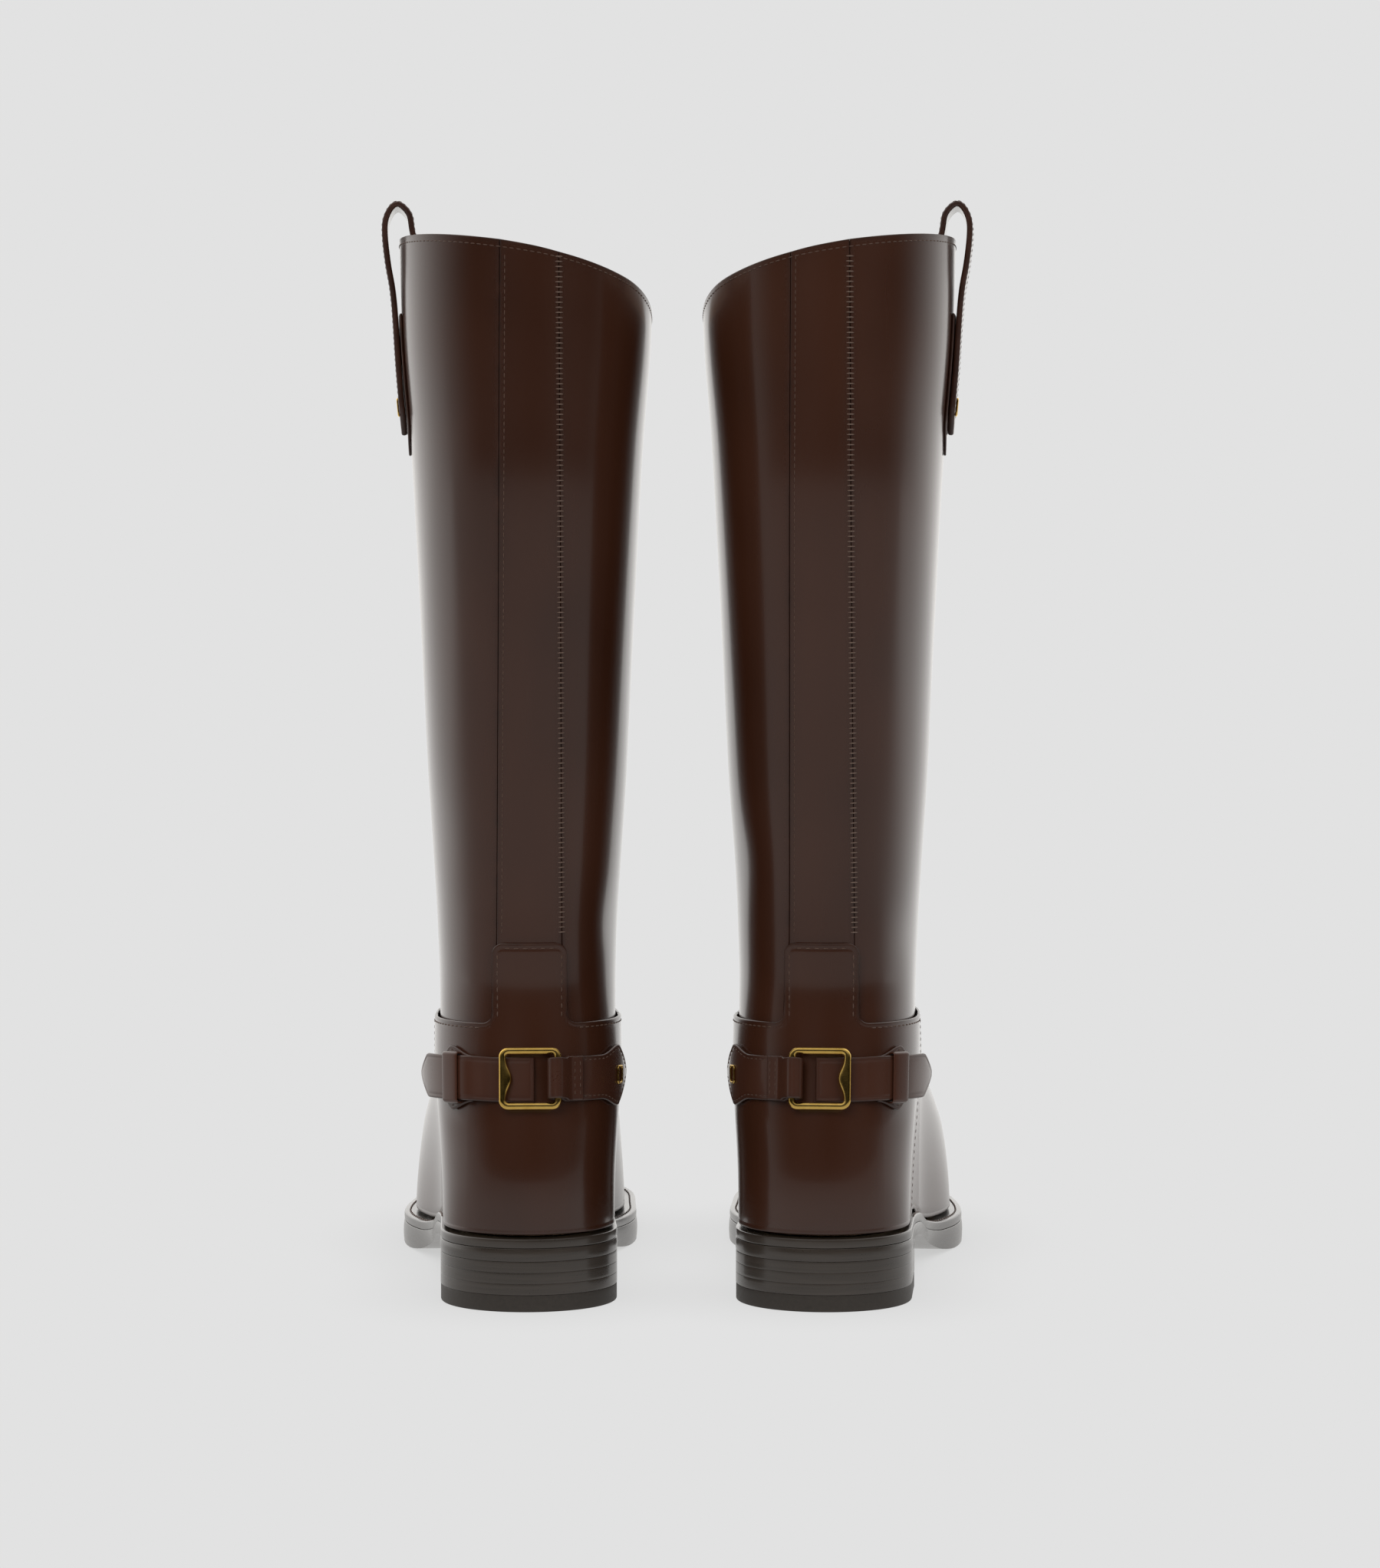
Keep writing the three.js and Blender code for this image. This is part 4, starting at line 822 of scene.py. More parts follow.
def outline(angle, out):
    """A point of the sole's plan, pushed out square to the plan's own direction."""
    step = 0.01
    point = surface(0, angle)
    way = surface(0, angle + step) - surface(0, angle - step)
    length = np.hypot(way[..., 0], way[..., 1])
    point[..., 0] += way[..., 1] / length * out
    point[..., 1] -= way[..., 0] / length * out
    return point


def angle_along(y):
    """The angle at which the sole's plan reaches a distance from the back, found by halving."""
    low, high = 0.0, np.pi
    for _ in range(HALVINGS):
        middle = (low + high) / 2
        if outline(middle, 0)[1] < y:
            low = middle
        else:
            high = middle
    return low


def rounded_wall(top, bottom, out, radius, bulge=0.0, count=5):
    """A layer's side, from its top face to its bottom face: a quarter circle, a wall that may bulge, and
    a quarter circle. Each entry is a distance out and a height, both functions of (angle, y)."""
    entries = []
    for q in np.linspace(0, np.pi / 2, count):
        entries.append((lambda a, q=q: out(a) - radius * (1 - np.sin(q)),
                        lambda y, q=q: top(y) - radius * (1 - np.cos(q))))
    for q in (0.25, 0.5, 0.75):
        entries.append((lambda a, q=q: out(a) + bulge * np.sin(np.pi * q),
                        lambda y, q=q: mix(top(y) - radius, bottom(y) + radius, q)))
    for q in np.linspace(np.pi / 2, 0, count):
        entries.append((lambda a, q=q: out(a) - radius * (1 - np.sin(q)),
                        lambda y, q=q: bottom(y) + radius * (1 - np.cos(q))))
    return entries


CAP_SHIFT = 0.35  # how far the flat end at the heel's breast stands past the last row


def plate(name, side, wall, end=np.pi, columns=110, fill=6):
    """A filled layer. Each row is a loop round the section at one angle: down the wall on the outer side,
    across the bottom, up the wall on the inner side and back across the top."""
    angle = end * (1 - np.cos(np.linspace(0, np.pi, columns))) / 2
    if end < np.pi:
        angle = end * np.sin(np.linspace(0, np.pi / 2, columns))
    sides = []
    for sign in (1, -1):
        rows = []
        for out, height in wall:
            point = outline(sign * angle, out(angle))
            point[..., 2] = height(point[..., 1])
            rows.append(point)
        sides.append(np.stack(rows))
    right, left = sides
    across = np.linspace(0, 1, fill + 2)[1:-1, None, None]
    bottom = mix(right[-1], left[-1], across)
    top = mix(left[0], right[0], across)
    loops = np.concatenate([right, bottom, left[::-1], top]).swapaxes(0, 1)
    if end < np.pi:
        last = loops[-1]
        middle = (last[:, 2].max() + last[:, 2].min()) / 2
        caps = []
        for keep in (0.94, 0.5, 0.0):
            cap = last + np.array([0, CAP_SHIFT, 0])
            cap[:, 2] = mix(middle, last[:, 2], keep)
            caps.append(cap)
        loops = np.concatenate([loops, np.stack(caps)])
    rows, corners = loops.shape[:2]
    index = np.arange(rows * corners).reshape(rows, corners)
    quads = quads_of(np.pad(index, ((0, 0), (0, 1)), mode="wrap"))
    return piece(name, side, loops.reshape(-1, 3), quads, weld=True)


def welt_ring(side):
    """The welt's section carried all round: top face, rounded outer edge, under face and inner edge."""
    low, high = (lambda y: seat(y) + 0.03), (lambda y: seat(y) + SOLE_GAP + WELT)
    wall = rounded_wall(high, low, welt_edge, 0.6, 0.08)
    inner = [(lambda a: -WELT_INNER + 0 * a, low), (lambda a: -WELT_INNER + 0 * a, high)]
    middle = [(lambda a, q=q: mix(-WELT_INNER, welt_edge(a) - 0.6, q), high) for q in (0.4, 0.7, 0.85)]
    angle = np.linspace(0, 2 * np.pi, 220, endpoint=False)
    rows = []
    for out, height in wall + inner + middle:
        point = outline(angle, out(angle))
        point[..., 2] = height(point[..., 1])
        rows.append(point)
    points = np.stack(rows)
    return piece("welt_strip", side, points.reshape(-1, 3), looped(points))


def flat(height):
    return lambda y: height + 0 * y


def fore(angle):
    """0 at the heel, rising to 1 ahead of it."""
    return smooth(((1 - np.cos(angle)) / 2 - 0.2) / 0.15)


HEEL_GAP = 0.03  # between two layers of the heel
SOLE_PROUD = 0.15  # how far the forepart's sole stands past the welt
lift_space = HEEL_SEAT - HEEL_SEAT_THICK - TOP_PIECE
lift_thick = lift_space / LIFTS
heel_end = angle_along(HEEL_BREAST - 1)
for side in BOOTS:
    dress(welt_ring(side), sole_edge, side, "sole_leather", "welt")
    sole_wall = rounded_wall(seat, lambda y: seat(y) - outsole_thick(y) + HEEL_GAP,
                             lambda a: welt_edge(a) + SOLE_PROUD * fore(a), 0.22, 0.3)
    dress(plate("outsole_leather", side, sole_wall), sole_edge, side, "sole_leather", "outsole")
    for lift in range(LIFTS):
        low = TOP_PIECE + lift * lift_thick
        wall = rounded_wall(flat(low + lift_thick - HEEL_GAP), flat(low), welt_edge, 0.1)
        stacked = plate(f"heel_lift_{lift + 1}_leather", side, wall, heel_end)
        dress(stacked, sole_edge, side, "sole_leather", f"heel_lift_{lift + 1}")
    wall = rounded_wall(flat(TOP_PIECE - HEEL_GAP), flat(0), lambda a: welt_edge(a) - 0.1, 0.3)
    top_piece = plate("heel_top_rubber", side, wall, heel_end)
    dress(top_piece, rubber, side, "top_piece_rubber", "heel_top_piece")

# %% [markdown]
# ## The ankle strap
#
# A strap is drawn in its own coordinates: the distance round the boot from the back centre line, the
# distance off the surface, and the height above the strap's own line. The anchor strap folds round the
# buckle's hidden bar, the billet slides under the outer bar and through the keeper, and two arrow-shaped
# ends hold everything at the sides.

# %% Strap coordinates
STRAP_Z, STRAP_HALF, FOLD_HALF, STRAP_THICK, STRAP_GAP = 87.5, 8.6, 7.9, 1.7, 0.7
ARROW_HALF, ARROW_TIP, ARROW_CORNER, ARROW_NECK, POINT_HALF = 12.0, 53.0, 40.0, 28.0, 1.3
TAB_THICK, TAB_HALF, TAB_FROM, TAB_TIP, TAB_CORNER, TAB_STAPLE = 1.4, 12.5, 21.0, 44.0, 32.0, 38.0
BUCKLE_HALF, BUCKLE_CORNER, BUCKLE_WIRE = 10.6, 2.4, 1.4
BAR_SLACK, BAR_LIFT, FOLD_TAIL = 0.6, 0.5, 9.5
KEEPER_SLACK, KEEPER_AT, KEEPER_WIDTH, KEEPER_THICK = 0.5, 27.5, 6.6, 0.9
BILLET_FROM, BILLET_END, BILLET_POINT = -1.5, 52.0, 9.0
BILLET_RISE = (13.0, 21.5)
SWELL = 2.2
STRAP_OFF = UPPER_FACE + STRAP_GAP

ring_angles = np.linspace(0, 2, 1200)
ring_points = surface(level_of_height(STRAP_Z, ring_angles), ring_angles)
ring_steps = np.linalg.norm(np.diff(ring_points, axis=0), axis=1)
ring_lengths = np.concatenate([[0], np.cumsum(ring_steps)])
lean_low, lean_high = (surface(level_of_height(STRAP_Z + d, 0), 0) for d in (-5, 5))
strap_lean = unit(lean_high - lean_low)


def strap_frame(round_boot):
    """The surface point, the outward normal and the upright direction at a distance round the boot."""
    angle = np.sign(round_boot) * np.interp(np.abs(round_boot), ring_lengths, ring_angles)
    level = level_of_height(STRAP_Z, angle)
    out = normal(level, angle)
    up = unit(strap_lean - (out @ strap_lean)[..., None] * out)
    return surface(level, angle), out, up


def on_strap(round_boot, off, height):
    """Surface point + off * normal + height * upright."""
    round_boot, off, height = together(round_boot, off, height)
    point, out, up = strap_frame(round_boot)
    return point + out * off[..., None] + up * height[..., None]


def spline(points):
    """A curve through points. Each segment is a cubic, and its slope at a point is half the distance
    between that point's neighbours."""
    p = np.array(points, float)
    p = np.concatenate([p[:1], p, p[-1:]])

    def curve(share):
        t = np.clip(np.asarray(share, float), 0, 1) * (len(p) - 3)
        i = np.minimum(t.astype(int), len(p) - 4)
        q = (t - i)[..., None]
        a, b, c, d = p[i], p[i + 1], p[i + 2], p[i + 3]
        first, second = (c - a) / 2, (d - b) / 2
        cubic = (2 * b - 2 * c + first + second) * q**3
        return cubic + (3 * c - 3 * b - 2 * first - second) * q**2 + first * q + b

    return curve


def even(curve, shares):
    """Points of a curve at shares of its own length."""
    fine = curve(np.linspace(0, 1, 800))
    length = np.concatenate([[0], np.cumsum(np.linalg.norm(np.diff(fine, axis=0), axis=1))])
    want = np.asarray(shares) * length[-1]
    return np.stack([np.interp(want, length, fine[:, k]) for k in range(fine.shape[1])], -1), length[-1]


strap_middle = STRAP_OFF + STRAP_THICK / 2
fold_radius = BUCKLE_WIRE + BAR_SLACK + STRAP_THICK / 2
bar_off = STRAP_OFF + STRAP_THICK / 2 + fold_radius + BAR_LIFT
low, high = 0.0, BUCKLE_HALF * 1.5
for _ in range(HALVINGS):
    middle = (low + high) / 2
    span = np.linalg.norm(on_strap(middle, bar_off, 0) - on_strap(-middle, bar_off, 0))
    low, high = (middle, high) if span < 2 * BUCKLE_HALF else (low, middle)
bar_at = -low
fold_top = strap_middle + STRAP_THICK + 0.12
print("buckle bars lie", round(bar_at, 2), "mm round the boot")

# %% Anchor strap, outer tab and billet
def arrow_half(at):
    q = np.abs(at)
    neck = mix(STRAP_HALF, ARROW_HALF, smooth((q - ARROW_NECK) / (ARROW_CORNER - ARROW_NECK)))
    point = mix(ARROW_HALF, POINT_HALF, (q - ARROW_CORNER) / (ARROW_TIP - ARROW_CORNER))
    return np.where(q > ARROW_CORNER, point, neck)


def tab_half(at):
    neck = mix(STRAP_HALF + CLEARANCE, TAB_HALF, smooth((at - TAB_FROM) / (TAB_CORNER - TAB_FROM)))
    point = mix(TAB_HALF, POINT_HALF, (at - TAB_CORNER) / (TAB_TIP - TAB_CORNER))
    return np.where(at > TAB_CORNER, point, neck)


def billet_half(at):
    left = np.clip((BILLET_END - at) / BILLET_POINT, 0, 1)
    return mix(POINT_HALF, STRAP_HALF, left)


STRAP_CHANNEL = (1.5, 0.4, 0.13)
STRAP_NEAR = (0, 0.08, 0.25, 0.5, 0.8, 1.1, 1.4, 1.7, 2.1, 2.7)


def strap_grid(line, half, step=1.0):
    """Middle points of a strap: an even walk along its line, and a share across its half height."""
    curve = spline(line)
    _, length = even(curve, [0, 1])
    walk, _ = even(curve, edge_stops(length, step, STRAP_NEAR))
    across = edge_stops(2 * STRAP_HALF, 1.6, STRAP_NEAR) * 2 - 1
    at, off = walk[None, :, 0], walk[None, :, 1]
    return on_strap(at, off, across[:, None] * half(at))


turns = -np.pi / 2 + np.linspace(0, 1, 7) * np.pi * 0.98
fold_line = [[bar_at + fold_radius * np.cos(t), bar_off + fold_radius * np.sin(t)] for t in turns]
anchor_line = [
    [-ARROW_TIP, strap_middle], [-ARROW_CORNER, strap_middle], [-ARROW_NECK, strap_middle],
    [mix(-ARROW_NECK, bar_at - fold_radius, 0.55), strap_middle], [bar_at - fold_radius, strap_middle],
    *fold_line,
    [bar_at - fold_radius * 1.3, fold_top + STRAP_THICK * 0.55], [bar_at - fold_radius * 1.9, fold_top],
    [bar_at - FOLD_TAIL, fold_top],
]
keeper_back = STRAP_OFF + TAB_THICK + CLEARANCE + 0.15
billet_high = keeper_back + KEEPER_THICK + KEEPER_SLACK + STRAP_THICK / 2
billet_line = [
    [BILLET_FROM, strap_middle], [mix(BILLET_FROM, BILLET_RISE[0], 0.5), strap_middle],
    [BILLET_RISE[0], strap_middle + 0.1],
    [mix(*BILLET_RISE, 0.47), mix(strap_middle, billet_high, 0.55)], [BILLET_RISE[1], billet_high],
    [KEEPER_AT, billet_high], [KEEPER_AT + KEEPER_WIDTH, billet_high], [BILLET_END, billet_high + 0.4],
]
tab_middle = STRAP_OFF + TAB_THICK / 2
tab_line = [[TAB_FROM, tab_middle], [TAB_CORNER, tab_middle], [TAB_TIP, tab_middle]]


def anchor_half(at):
    return np.where(at > bar_at - fold_radius, FOLD_HALF, arrow_half(at))


STRAPS = [
    ("anchor_strap", anchor_line, anchor_half, STRAP_THICK),
    ("outer_anchor", tab_line, tab_half, TAB_THICK),
    ("billet_strap", billet_line, billet_half, STRAP_THICK),
]
for side in BOOTS:
    for name, line, half, thick in STRAPS:
        made = sheet(f"{name}_leather", side, strap_grid(line, half), thick, edge=0.6,
                     channel=STRAP_CHANNEL)
        dress(made, strap_calf, side, "strap_leather", name)

# %% [markdown]
# ## Keeper, buckle and staples
#
# The keeper is a small leather ring round the billet. The buckle is a square of round wire with softened
# corners, whose outer bar swells inwards in the middle to grip the strap. The staples are little
# rectangles of wire. Each is a section carried round a closed path.

# %% Keeper, buckle and staples
def round_box(half_x, half_y, corner, count=10, along=8):
    """A rectangle with round corners, as points and outward directions, walked once round."""
    x, y = half_x - corner, half_y - corner
    turn = np.linspace(0, np.pi / 2, count)
    centres = [(x, y), (-x, y), (-x, -y), (x, -y)]
    points, ways = [], []
    for k, (cx, cy) in enumerate(centres):
        angle = turn + k * np.pi / 2
        way = np.stack([np.cos(angle), np.sin(angle)], -1)
        points.append(np.array([cx, cy]) + corner * way)
        ways.append(way)
        nx, ny = centres[(k + 1) % 4]
        start = points[-1][-1]
        end = np.array([nx, ny]) + corner * way[-1]
        share = np.linspace(0, 1, along + 2)[1:-1, None]
        points.append(mix(start, end, share))
        ways.append(np.repeat(way[-1:], along, 0))
    return np.concatenate(points), np.concatenate(ways)


def keeper(side):
    """A rounded strip section carried round the billet: |x|^4 + |y|^4 = 1, flattened to the strip."""
    inner = STRAP_HALF + KEEPER_SLACK
    low_off, high_off = keeper_back, billet_high + STRAP_THICK / 2 + KEEPER_SLACK + KEEPER_THICK
    half_off = (high_off - low_off - KEEPER_THICK) / 2
    path, ways = round_box(inner + KEEPER_THICK / 2, half_off, 1.1)
    centre = low_off + KEEPER_THICK / 2 + half_off
    turn = np.linspace(0, 2 * np.pi, 28, endpoint=False)
    wide = np.sign(np.cos(turn)) * np.abs(np.cos(turn)) ** 0.5 * KEEPER_WIDTH / 2
    thick = np.sign(np.sin(turn)) * np.abs(np.sin(turn)) ** 0.5 * KEEPER_THICK / 2
    height = path[:, None, 0] + ways[:, None, 0] * thick[None]
    off = centre + path[:, None, 1] + ways[:, None, 1] * thick[None]
    points = on_strap(KEEPER_AT + wide[None] + 0 * height, off, height)
    return piece("keeper_loop_leather", side, points.reshape(-1, 3), looped(points))


def buckle(side):
    """Wire round a square: the path plus reach * outward and rise * upright. On the outer bar the inward
    reach grows by a bell, swell * smooth(1 - |y| / half)."""
    path, ways = round_box(BUCKLE_HALF, BUCKLE_HALF, BUCKLE_CORNER, along=40)
    turn = np.linspace(0, 2 * np.pi, 20, endpoint=False)
    reach, rise = BUCKLE_WIRE * np.cos(turn)[None], BUCKLE_WIRE * np.sin(turn)[None]
    bar = path[:, :1] > BUCKLE_HALF - 0.01
    bell = np.where(bar, smooth(1 - np.abs(path[:, 1:]) / (BUCKLE_HALF - BUCKLE_CORNER)), 0) ** 1.25
    reach = np.where(reach < 0, reach * (1 + bell * SWELL / BUCKLE_WIRE), reach)
    x = path[:, :1] + ways[:, :1] * reach
    y = path[:, 1:] + ways[:, 1:] * reach
    bar_point, far = on_strap(bar_at, bar_off, 0), on_strap(-bar_at, bar_off, 0)
    across = unit(far - bar_point)
    up = strap_frame(np.array(0.0))[2]
    out = unit(np.cross(across, up))
    upright = np.cross(out, across)
    middle = bar_point + across * BUCKLE_HALF
    points = middle + x[..., None] * across + y[..., None] * upright + (rise + 0 * x)[..., None] * out
    return piece("buckle_frame_brass", side, points.reshape(-1, 3), looped(points))


STAPLE_WIRE, STAPLE_SUNK = 0.44, 0.05


def staple(name, side, place, off):
    """A rounded wire rectangle lying on a strap. Place maps along, up and off to a point of the boot."""
    wire = STAPLE_WIRE
    path, ways = round_box(2.0, 3.2, 0.9, count=6, along=5)
    turn = np.linspace(0, 2 * np.pi, 12, endpoint=False)
    along = path[:, :1] + ways[:, :1] * wire * np.cos(turn)[None]
    up = path[:, 1:] + ways[:, 1:] * wire * np.cos(turn)[None]
    points = place(along, up, off + wire * (1 + np.sin(turn))[None] + 0 * along)
    return piece(name, side, points.reshape(-1, 3), looped(points))


def beside_shaft(z, out, along):
    """A point beside the outer side of the shaft."""
    z, out, along = together(z, out, along)
    point = surface(level_of_height(z, np.pi / 2), np.pi / 2)
    return np.stack([point[..., 0] + out, point[..., 1] + along, z], -1)


PULL_WIDTH, PULL_THICK, LOOP_TOP, LOOP_OUT, PULL_END = 20.0, 2.3, 427.2, 5.4, 337.0
PATCH_END, PATCH_TOP, PATCH_THICK, PATCH_MARGIN = 329.0, 384.0, 1.0, 2.0
PATCH_POINT, PULL_POINT, PULL_STAPLE, PULL_INSIDE = 11.0, 9.0, 11.0, 2.2
PATCH_GAP = 0.05  # under the patch, and between patch and strap
pull_out = PATCH_GAP + PATCH_THICK + PATCH_GAP + PULL_THICK / 2
pull_in = -LEATHER - LAYER_GAP - LINING - PULL_INSIDE - PULL_THICK / 2

STAPLES = [
    ("inner_staple", lambda a, u, off: on_strap(a - ARROW_CORNER, off, u),
     STRAP_OFF + STRAP_THICK - STAPLE_SUNK),
    ("outer_staple", lambda a, u, off: on_strap(TAB_STAPLE + a * 0.8, off, u),
     STRAP_OFF + TAB_THICK - STAPLE_SUNK),
    ("pull_strap_staple", lambda a, u, off: beside_shaft(PULL_END + PULL_STAPLE + u, off, a),
     pull_out + PULL_THICK / 2 - STAPLE_SUNK),
]
for side in BOOTS:
    dress(keeper(side), strap_calf, side, "strap_leather", "keeper_loop")
    dress(buckle(side), brass, side, "buckle_brass", "buckle_frame", body="buckle")
    for name, place, off in STAPLES:
        dress(staple(f"{name}_wire", side, place, off), brass, side, "buckle_brass", name)

# %% [markdown]
# ## Pull loop
#
# A strap of doubled leather starts inside the shaft, rises over the rim in a loop for the fingers and
# comes down outside, where a pointed patch backs its end.

# %% Pull strap and patch
pull_line = [
    [pull_in, RIM_OUTER - 45], [pull_in, RIM_OUTER - 20], [pull_in + 0.3, RIM_OUTER - 4],
    [pull_in + 1.4, RIM_OUTER + 4], [pull_in + 2.2, RIM_OUTER + 9.3], [-1.6, LOOP_TOP - 0.9],
    [0.9, LOOP_TOP - 0.2], [3.4, LOOP_TOP - 2.6], [LOOP_OUT - 0.2, RIM_OUTER + 6.5],
    [LOOP_OUT, RIM_OUTER], [4.5, RIM_OUTER - 10], [pull_out + 0.7, RIM_OUTER - 21],
    [pull_out, RIM_OUTER - 36], [pull_out, PULL_END + 20], [pull_out, PULL_END],
]


def pull_grid():
    curve = spline(pull_line)
    _, length = even(curve, [0, 1])
    walk, _ = even(curve, edge_stops(length, 1.6, STRAP_NEAR))
    out, z = walk[None, :, 0], walk[None, :, 1]
    pointed = np.where(out > 0, np.clip((z - PULL_END) / PULL_POINT, 0, 1), 1)
    half = mix(POINT_HALF, PULL_WIDTH / 2, pointed)
    across = edge_stops(PULL_WIDTH, 1.6, STRAP_NEAR)[:, None] * 2 - 1
    return beside_shaft(z, out, across * half)


def patch_grid():
    z = mix(PATCH_END, PATCH_TOP, edge_stops(PATCH_TOP - PATCH_END, 2.0, STRAP_NEAR))[None]
    half = mix(POINT_HALF, PULL_WIDTH / 2 + PATCH_MARGIN, np.clip((z - PATCH_END) / PATCH_POINT, 0, 1))
    across = (edge_stops(24, 1.6, STRAP_NEAR)[:, None] * 2 - 1) * half
    level = level_of_height(z, np.pi / 2)
    depth = (front_of_level(level) - back_of_level(level)) / 2
    return off_surface(level + 0 * across, np.pi / 2 + across / depth, PATCH_GAP + PATCH_THICK / 2)


for side in BOOTS:
    loop = sheet("pull_strap_leather", side, pull_grid(), PULL_THICK, edge=0.8, channel=STRAP_CHANNEL)
    dress(loop, strap_calf, side, "strap_leather", "pull_strap")
    patch = sheet("pull_patch_leather", side, patch_grid(), PATCH_THICK, edge=0.5)
    dress(patch, calf, side, "outer_leather", "pull_strap_patch")

# %% [markdown]
# ## Stitching
#
# Every seam is sewn with separate stitches. One stitch is a short bead that swells out of its hole and
# dives back into the leather. A row is that one bead set at an even pitch along a path, all of them worked
# out at once, because a loop over a thousand stitches would be slow and would say no more.

# %% A row of stitches
BEAD_SIDES, BEAD_RINGS = 6, 5


def bead(length, radius):
    """A bead along X: radius r (1 - u^4), with u from -1 to 1, its middle raised by r (1 - u^2) / 2."""
    u = np.linspace(-0.97, 0.97, BEAD_RINGS)[:, None]
    turn = np.linspace(0, 2 * np.pi, BEAD_SIDES, endpoint=False)[None]
    thin = radius * (1 - u**4) ** 0.5 + 0.02
    lift = radius * (0.45 * (1 - u * u) - 0.25)
    x = u * length / 2 + 0 * turn
    points = np.stack([x, thin * np.cos(turn), thin * np.sin(turn) + lift], -1)
    index = np.arange(BEAD_RINGS * BEAD_SIDES).reshape(BEAD_RINGS, BEAD_SIDES)
    side_quads = quads_of(np.pad(index, ((0, 0), (0, 1)), mode="wrap"))
    ends = [[0, 1, 2, 3], [0, 3, 4, 5]]
    caps = np.concatenate([index[0][np.array(ends)][:, ::-1], index[-1][np.array(ends)]])
    return points.reshape(-1, 3), np.concatenate([side_quads, caps])


def stitches(low_path, high_path, pitch, length, radius, across=False):
    """Beads set along a path. The second path lies off the surface above the first, and tells which way
    is up. A bead's points are place + x * way + y * beside + z * up."""
    step = np.linalg.norm(np.diff(low_path, axis=0), axis=1)
    walked = np.concatenate([[0], np.cumsum(step)])
    count = max(1, int((walked[-1] - length) / pitch))
    want = (np.arange(count) + 0.5) / count * walked[-1]
    place = np.stack([np.interp(want, walked, low_path[:, k]) for k in range(3)], -1)
    above = np.stack([np.interp(want, walked, high_path[:, k]) for k in range(3)], -1)
    ahead = np.stack([np.interp(want + 0.3, walked, low_path[:, k]) for k in range(3)], -1)
    behind = np.stack([np.interp(want - 0.3, walked, low_path[:, k]) for k in range(3)], -1)
    up = unit(above - place)
    way = unit(ahead - behind)
    beside = unit(np.cross(up, way))
    way = np.cross(beside, up)
    if across:
        way, beside = beside, -way
    shape, quads = bead(length, radius)
    axes = np.stack([way, beside, up], 1)
    points = place[:, None] + np.einsum("pk,nkc->npc", shape, axes)
    offsets = np.arange(count)[:, None, None] * len(shape)
    return points.reshape(-1, 3), (quads[None] + offsets).reshape(-1, 4)


def sew(name, side, rows, material):
    """Joins rows of stitches into one piece."""
    points, quads, start = [], [], 0
    for row_points, row_quads in rows:
        points.append(row_points)
        quads.append(row_quads + start)
        start += len(row_points)
    made = piece(name, side, np.concatenate(points), np.concatenate(quads))
    dress(made, material, side, "strap_leather")
    print(made.name, start // (BEAD_SIDES * BEAD_RINGS), "stitches")


def row_on(level, angle, off, pitch=2.7, length=2.1, radius=0.26, across=False, side=None):
    """A row along a path given by levels and angles."""
    soft = give(side, level, angle) if side else 0
    return stitches(off_surface(level, angle, off + soft), off_surface(level, angle, off + soft + 1),
                    pitch, length, radius, across)


# %% Stitch rows of the upper
EDGE_ROW = 2.0  # from an edge to its row of stitches
SUNK = 0.12  # how deep a row of the foot lies in the leather
LADDER = {"pitch": 1.9, "length": 3.0, "radius": 0.26, "across": True}
PLAIN = {"pitch": 2.6, "length": 1.9, "radius": 0.17}
RIM_ROW = {"pitch": 2.6, "length": 1.9, "radius": 0.2}
below_ankle = np.full(200, float(level_of_height(ANKLE - EDGE_ROW, 1.0)))
for side, (ladder_side, _) in BOOTS.items():
    rows = []
    climb = np.linspace(1.34, 3.93, 400)
    ladder = row_on(climb, ladder_side * seam(climb, 0), 0.02, side=side, **LADDER)
    sew("ladder_stitching", side, [ladder], pale_thread)
    plain = -ladder_side * seam(climb, -EDGE_ROW)
    rows.append(row_on(climb, plain, 0, side=side, **PLAIN))
    around = np.linspace(-np.pi, np.pi, 700)
    rows.append(row_on(rim_level(around) - 0.026, around, 0, side=side, **RIM_ROW))
    full = float(cover_edge(1.0))
    for sign in (1, -1):
        levels = np.linspace(0.05, 0.985, 200)
        gap = EDGE_ROW / shaft_half(levels)
        rows.append(row_on(levels, sign * (cover_edge(levels) - gap), UPPER_FACE - SUNK))
        start = float(angle_across(1.0, TONGUE_HALF + TONGUE_FILLET))
        rows.append(row_on(below_ankle,
                           sign * np.linspace(start, full - 0.06, 200), UPPER_FACE - SUNK))
        tall = np.linspace(ANKLE + 2, TONGUE_TOP - TONGUE_CORNER, 60)
        inward = angle_across(level_of_height(tall, 0), TONGUE_HALF - EDGE_ROW)
        rows.append(row_on(level_of_height(tall, 0), sign * inward, UPPER_FACE - SUNK))
        rows.append(row_on(below_ankle,
                           sign * np.linspace(full + 0.06, np.pi, 200), UPPER_OFF + VAMP - SUNK))
    crown = np.linspace(-TONGUE_HALF + TONGUE_CORNER, TONGUE_HALF - TONGUE_CORNER, 60)
    height = float(level_of_height(TONGUE_TOP - EDGE_ROW, 0))
    rows.append(row_on(np.full(60, height), np.sign(crown) * angle_across(height, np.abs(crown)),
                       UPPER_FACE - SUNK))
    sew("upper_stitching", side, rows, thread)

# %% Stitch rows of the straps, the loop and the welt
def strap_row(at, off, height, **sizes):
    at, off, height = together(at, off, height)
    return stitches(on_strap(at, off, height), on_strap(at, off + 1, height), **sizes)


